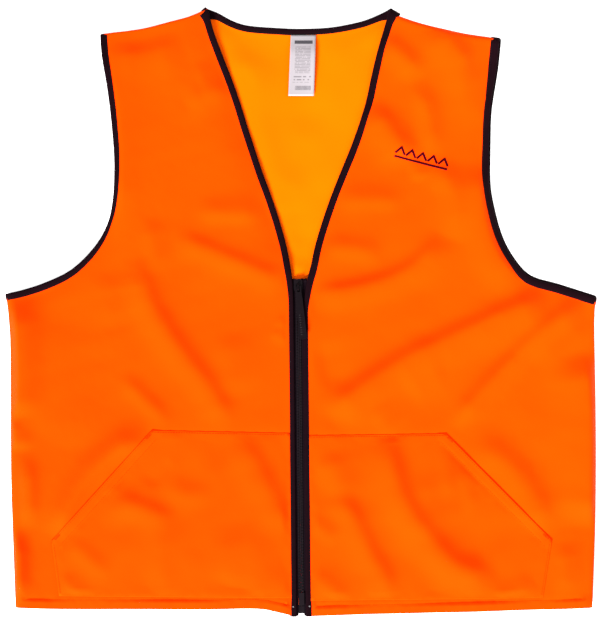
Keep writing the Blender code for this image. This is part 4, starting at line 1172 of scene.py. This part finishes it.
# hem stitches
for s in "rl":
    ln = resample(offset(hem[s], HEM), 2.0)
    ln = ln[(near(ln, zip_line)[0] > 11.0) & (near(ln, side[s])[0] > 3.0)]
    z = front_z(ln, s) + CLOTH / 2
    up = np.tile([0.0, 0.0, 1.0], (len(ln), 1))
    st = thread(WORD[s] + "_hem_stitches", np.column_stack([ln, z]), up, ORANGE_THREAD,
                pitch=2.8, length=2.2)
    front_blend(st)
ln = resample(offset(back_hem, HEM), 2.0)
ln = ln[(near(ln, side["r"])[0] > 4) & (near(ln, side["l"])[0] > 4)]
for tag, k in (("inside", 1), ("outside", -1)):
    st = thread("back_hem_stitches_" + tag,
                np.column_stack([ln, back_z(ln) + k * CLOTH / 2]),
                np.tile([0.0, 0.0, float(k)], (len(ln), 1)), ORANGE_THREAD, pitch=2.8, length=2.2)
    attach(st, "back")

# ------------------------------------------------------------------ zipper
angle = math.atan2(zip_right[1], zip_right[0])
ZIP = Matrix.Translation((ZT[0] * MM, ZT[1] * MM, 0)) @ Matrix.Rotation(angle, 4, "Z")
PITCH, COUNT, CHAIN_TOP, TZ = 3.0, 110, -2.2, 9.6


def tooth_mesh():
    """One moulded tooth: a clamp on the tape's cord, a neck and a rounded head."""
    plan = [(-2.75, 1.15), (-1.55, 1.15), (-1.25, 0.74), (-0.40, 0.60), (-0.15, 0.70),
            (0.35, 0.74), (0.72, 0.48), (0.82, 0.0)]
    plan = plan + [(x, -y) for x, y in reversed(plan[:-1])]
    bm = bmesh.new()
    f = bm.faces.new([bm.verts.new((x, y, -1.2)) for x, y in plan])
    g = bmesh.ops.extrude_face_region(bm, geom=[f])
    bmesh.ops.translate(bm, vec=(0, 0, 2.4), verts=[e for e in g["geom"]
                                                     if isinstance(e, bmesh.types.BMVert)])
    bmesh.ops.recalc_face_normals(bm, faces=bm.faces)
    sharp = [e for e in bm.edges if e.calc_face_angle(0) > 1.0]
    bmesh.ops.bevel(bm, geom=sharp, offset=0.24, segments=2, profile=0.6, affect="EDGES")
    bmesh.ops.triangulate(bm, faces=[f for f in bm.faces if len(f.verts) > 4])
    v = np.array([tuple(x.co) for x in bm.verts])
    bm.verts.index_update()
    faces = [[x.index for x in f.verts] for f in bm.faces]
    bm.free()
    return v, faces


tv, tf = tooth_mesh()
for s, sign in (("r", -1), ("l", 1)):
    verts, faces = [], []
    shift = 0.0 if s == "r" else PITCH / 2
    for k in range(COUNT + (1 if s == "r" else 0)):
        y = CHAIN_TOP - shift - 0.75 - PITCH * k
        v = tv * (1.0 if s == "r" else -1.0, 1.0, 1.0) + (0, y, TZ)
        base = len(verts)
        verts += list(v)
        for f in tf:
            f = f if s == "r" else f[::-1]
            faces.append(tuple(base + i for i in f))
    # the cord that the teeth are moulded on
    ring = [(1.04 * math.cos(a), 0.66 * math.sin(a)) for a in np.linspace(0, 2 * math.pi, 9)[:-1]]
    ys = np.linspace(CHAIN_TOP, CHAIN_TOP - PITCH * COUNT - 1.9, 60)
    base = len(verts)
    for y in ys:
        verts += [np.array((sign * 1.93 + cx, y, TZ + cz)) for cx, cz in ring]
    for i in range(len(ys) - 1):
        for q in range(8):
            r_ = (q + 1) % 8
            faces.append((base + i * 8 + q, base + i * 8 + r_, base + (i + 1) * 8 + r_,
                          base + (i + 1) * 8 + q))
    faces.append(tuple(base + q for q in range(7, -1, -1)))
    faces.append(tuple(base + (len(ys) - 1) * 8 + q for q in range(8)))
    row = new_object(WORD[s] + "_teeth_row", verts, faces, [TOOTH], smooth_all=False)
    row.data.shade_smooth()
    row.data.set_sharp_from_angle(angle=math.radians(50))
    row.data.transform(ZIP)
    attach(row, WORD[s] + "_front")
    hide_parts(WORD[s] + "_zipper_teeth")


def softened(node, name, mat, width, segments=3, angle_deg=35):
    """A copy of a CAD piece with its edges rounded."""
    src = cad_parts[node]
    mesh = src.data.copy()
    mesh.name = name
    mesh.transform(src.matrix_world)
    bm = bmesh.new()
    bm.from_mesh(mesh)
    bmesh.ops.remove_doubles(bm, verts=bm.verts, dist=2e-6)
    bmesh.ops.dissolve_limit(bm, angle_limit=math.radians(2), verts=bm.verts, edges=bm.edges)
    bm.to_mesh(mesh)
    bm.free()
    mesh.materials.clear()
    mesh.materials.append(mat)
    obj = bpy.data.objects.new(name, mesh)
    bpy.context.scene.collection.objects.link(obj)
    mod = obj.modifiers.new("round", "BEVEL")
    mod.width = width * MM
    mod.segments = segments
    mod.limit_method = "ANGLE"
    mod.angle_limit = math.radians(angle_deg)
    mod.harden_normals = False
    mesh.shade_smooth()
    mesh.set_sharp_from_angle(angle=math.radians(60))
    return obj


for node, name, mat, width, body, slot_name in (
        ("slider_body", "slider_shell", ENAMEL, 0.35, "slider", "slider_finish"),
        ("pull_tab", "pull_tab_moulding", ENAMEL, 0.3, "pull", "slider_finish"),
        ("retainer_box", "retainer_box_moulding", TOOTH, 0.25, "right_front", "zipper_plastic"),
        ("right_top_stop", "right_top_stop_moulding", TOOTH, 0.25, "right_front", "zipper_plastic"),
        ("left_top_stop", "left_top_stop_moulding", TOOTH, 0.25, "left_front", "zipper_plastic"),
        ("insertion_pin", "insertion_pin_moulding", TOOTH, 0.2, "left_front", "zipper_plastic")):
    o = softened(node, name, mat, width)
    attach(o, body)
    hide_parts(node)

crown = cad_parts["slider_crown"]
crown.data.materials.clear()
crown.data.materials.append(ENAMEL)
crown.data.shade_smooth()
for s in "rl":
    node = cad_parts[WORD[s] + "_zipper_tape"]
    node.data.materials.clear()
    node.data.materials.append(TAPE)

# the tapes' folded top ends, and the stiff film at their lower ends
for s, sign in (("r", -1), ("l", 1)):
    xs = np.linspace(3.0, 9.6, 8) * sign
    p = np.column_stack([xs, 0.4 + 0.25 * np.sin(np.arange(8) * 1.3), np.full(8, TZ)])
    sec = [(2.1 * math.cos(a), 0.62 * math.sin(a) * (1 if abs(math.cos(a)) > 0.2 else 0.92))
           for a in np.linspace(0, 2 * math.pi, 17)[:-1]]
    fold_top = strip(WORD[s] + "_tape_top_fold", p, np.tile([0.0, 1.0, 0.0], (8, 1)),
                     np.tile([0.0, 0.0, 1.0], (8, 1)), sec, [TAPE], False)
    fold_top.data.transform(ZIP)
    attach(fold_top, WORD[s] + "_front")
    ys = np.linspace(-346.9, -356.0, 6)
    mid, half, lift = (-1.1, 2.4, -0.62) if s == "r" else (1.78, 1.72, 0.22)
    p = np.column_stack([np.full(6, mid), ys, np.full(6, TZ + lift)])
    sec = [(half * math.copysign(abs(math.cos(a)) ** 0.4, math.cos(a)),
            0.34 * math.copysign(abs(math.sin(a)) ** 0.5, math.sin(a)))
           for a in np.linspace(0, 2 * math.pi, 17)[:-1]]
    film = strip(WORD[s] + "_tape_end_film", p, np.tile([1.0, 0.0, 0.0], (6, 1)),
                 np.tile([0.0, 0.0, 1.0], (6, 1)), sec, [TOOTH], False)
    film.data.transform(ZIP)
    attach(film, WORD[s] + "_front")

# grip ribs on the pull tab
lo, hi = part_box("pull_tab")
tilt = math.radians(3.5)
ribs_v, ribs_f = [], []
CROWN_Y, TAB_Z = -6.4, 13.2
for k in range(9):
    yc = -30.0 - k * 2.6
    for xs, w in ((0.0, 2.5),):
        base = len(ribs_v)
        segs = 6
        for e, sc in ((-1, 0.0), (-0.92, 0.75), (0.92, 0.75), (1, 0.0)):
            for q in range(segs + 1):
                a = math.pi * q / segs
                ribs_v.append((e * w, yc + 0.75 * math.cos(a) * max(sc, 0.3),
                               0.62 + 0.5 * math.sin(a) * sc))
        for i in range(3):
            for q in range(segs):
                a0 = base + i * (segs + 1) + q
                ribs_f.append((a0, a0 + 1, a0 + segs + 2, a0 + segs + 1))
ribs = new_object("pull_tab_ribs", ribs_v, ribs_f, [ENAMEL])
place = (ZIP @ Matrix.Translation((0, CROWN_Y * MM, TAB_Z * MM))
         @ Matrix.Rotation(math.radians(5.0), 4, "Z") @ Matrix.Rotation(-tilt, 4, "X"))
ribs.data.transform(place)
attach(ribs, "pull")

# ------------------------------------------------------------------ care label
LABEL = [(-10.9, 297.3), (16.0, 297.3), (13.9, 231.8), (-13.6, 231.8)]
c = [np.array(q) + (SX, SY) for q in LABEL]
nu, nv = 15, 34
verts, uv, faces = [], [], []
grid = []
for j in range(nv):
    v = j / (nv - 1)
    left, right = c[0] * (1 - v) + c[3] * v, c[1] * (1 - v) + c[2] * v
    for i in range(nu):
        grid.append(left * (1 - i / (nu - 1)) + right * (i / (nu - 1)))
grid = np.array(grid)
under = back_z(grid)
for side_k in (0, 1):
    for j in range(nv):
        v = j / (nv - 1)
        for i in range(nu):
            u = i / (nu - 1)
            k = j * nu + i
            rise = -0.15 + 2.85 * float(step01(np.array(v / 0.32))) + 0.3 * math.sin(v * 5.5)
            rise += 2.2 * u ** 2 * math.sin(math.pi * min(1.0, v * 1.02)) + 0.5 * v * (1 - u)
            verts.append((grid[k, 0], grid[k, 1],
                          max(under[k] + 0.75, 2.9 + rise * 0.9) + (0.16 if side_k == 0 else -0.16)))
            uv.append((u * 28.0, v * 64.0))
m = nu * nv
for j in range(nv - 1):
    for i in range(nu - 1):
        a = j * nu + i
        faces.append((a, a + nu, a + nu + 1, a + 1))
        faces.append((a + m, a + 1 + m, a + nu + 1 + m, a + nu + m))
for i in range(nu - 1):
    a, b = i, (nv - 1) * nu + i
    faces.append((a, a + 1, a + 1 + m, a + m))
    faces.append((b + 1, b, b + m, b + 1 + m))
for j in range(nv - 1):
    a, b = j * nu, j * nu + nu - 1
    faces.append((a + nu, a, a + m, a + nu + m))
    faces.append((b, b + nu, b + nu + m, b + m))
label = new_object("care_label_tape", verts, faces, [label_material()], uv=uv)
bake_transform(label)
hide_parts("care_label")

# ------------------------------------------------------------------ chest motif
a, b = np.array((100.5, 172.5)) + (SX, SY), np.array((158.0, 157.5)) + (SX, SY)
dd = (b - a) / np.linalg.norm(b - a)
nn = np.array([-dd[1], dd[0]])
length = float(np.linalg.norm(b - a))
flat_v, rises, faces = [], [], []


def satin(p0, p1, width):
    """One bar of satin stitch: close crossing threads over a low ridge from p0 to p1."""
    p0, p1 = np.array(p0, float), np.array(p1, float)
    t = p1 - p0
    ll = np.linalg.norm(t)
    t /= ll
    w = np.array([-t[1], t[0]])
    count = max(2, int(ll / 0.5))
    for q in range(count):
        mid = p0 + t * ((q + 0.5) * ll / count)
        half = width / 2 * (1 + 0.06 * math.sin(q * 2.1))
        base = len(flat_v)
        for e, h in ((-1, 0.05), (-0.8, 0.38), (0, 0.55), (0.8, 0.38), (1, 0.05)):
            for o in (-0.25, 0.25):
                flat_v.append(mid + w * (e * half) + t * (o + e * 0.08))
                rises.append(CLOTH / 2 + h * (1.0 if o < 0 else 0.86))
        for i in range(4):
            k = base + i * 2
            faces.append((k, k + 1, k + 3, k + 2))


peaks = 5
for k in range(peaks):
    x0, x1, x2 = (length * (k + e) / peaks for e in (0.0, 0.5, 1.0))
    lowp = a + dd * (x0 + 0.7) - nn * 2.2
    high = a + dd * x1 + nn * 5.6
    low2 = a + dd * (x2 - 0.7) - nn * 2.2
    satin(lowp, high + dd * 0.4, 2.5)
    satin(high - dd * 0.4, low2, 2.5)
satin(a - nn * 5.6 + dd * 0.5, b - nn * 5.6 - dd * 0.5, 2.4)
flat_v = np.array(flat_v)
verts = np.column_stack([flat_v, front_z(flat_v, "l") + np.array(rises)])
motif = new_object("chest_embroidery", verts, faces, [MAROON])
bm = bmesh.new()
bm.from_mesh(motif.data)
for f in bm.faces:
    f.normal_update()
    if f.normal.z < 0:
        f.normal_flip()
bm.to_mesh(motif.data)
bm.free()
front_blend(motif)
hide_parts("chest_motif")

# ------------------------------------------------------------------ floor, light, camera
bpy.ops.mesh.primitive_plane_add(size=8.0, location=(0, 0, -0.0006))
floor = bpy.context.object
floor.name = "floor"
fm, ft, fb = nodes_of("pale_floor")
fb.inputs["Base Color"].default_value = (0.9, 0.9, 0.9, 1)
fb.inputs["Roughness"].default_value = 0.9
fb.inputs["Emission Color"].default_value = (1, 1, 1, 1)
fb.inputs["Emission Strength"].default_value = 0.6
floor.data.materials.append(fm)

world = bpy.data.worlds.new("studio")
bpy.context.scene.world = world
world.use_nodes = True
world.node_tree.nodes["Background"].inputs["Color"].default_value = (1, 1, 1, 1)
world.node_tree.nodes["Background"].inputs["Strength"].default_value = 0.88

sun = bpy.data.lights.new("window", "SUN")
sun.energy = 12.1
sun.angle = math.radians(20)
sun_o = bpy.data.objects.new("window", sun)
bpy.context.scene.collection.objects.link(sun_o)
box = bpy.data.lights.new("softbox", "AREA")
box.shape = "SQUARE"
box.size = 0.4
box.energy = 1.8
box_o = bpy.data.objects.new("softbox", box)
bpy.context.scene.collection.objects.link(box_o)
box_o.location = (0.58, 0.24, 0.36)
box_o.rotation_euler = Vector((0.40, 0.20, 0.36)).to_track_quat("Z", "Y").to_euler()
elev, az = LIGHT_EL, LIGHT_AZ                      # from the lower left
direction = Vector((math.cos(elev) * math.cos(az), math.cos(elev) * math.sin(az), math.sin(elev)))
sun_o.rotation_euler = direction.to_track_quat("Z", "Y").to_euler()

cam = bpy.data.cameras.new("camera")
cam.sensor_fit = "HORIZONTAL"
cam.sensor_width = 36.0
cam.lens = 36.0 * 2.6 / (600 * 0.00107)
cam.clip_end = 30
cam_o = bpy.data.objects.new("camera", cam)
bpy.context.scene.collection.objects.link(cam_o)
cam_o.location = ((300 - 301) * 1.07 * MM + SX * MM, (312 - 311) * 1.07 * MM + SY * MM, 2.6 + 0.011)
bpy.context.scene.camera = cam_o
bpy.context.scene.view_settings.view_transform = "Standard"
bpy.context.scene.view_settings.look = "None"
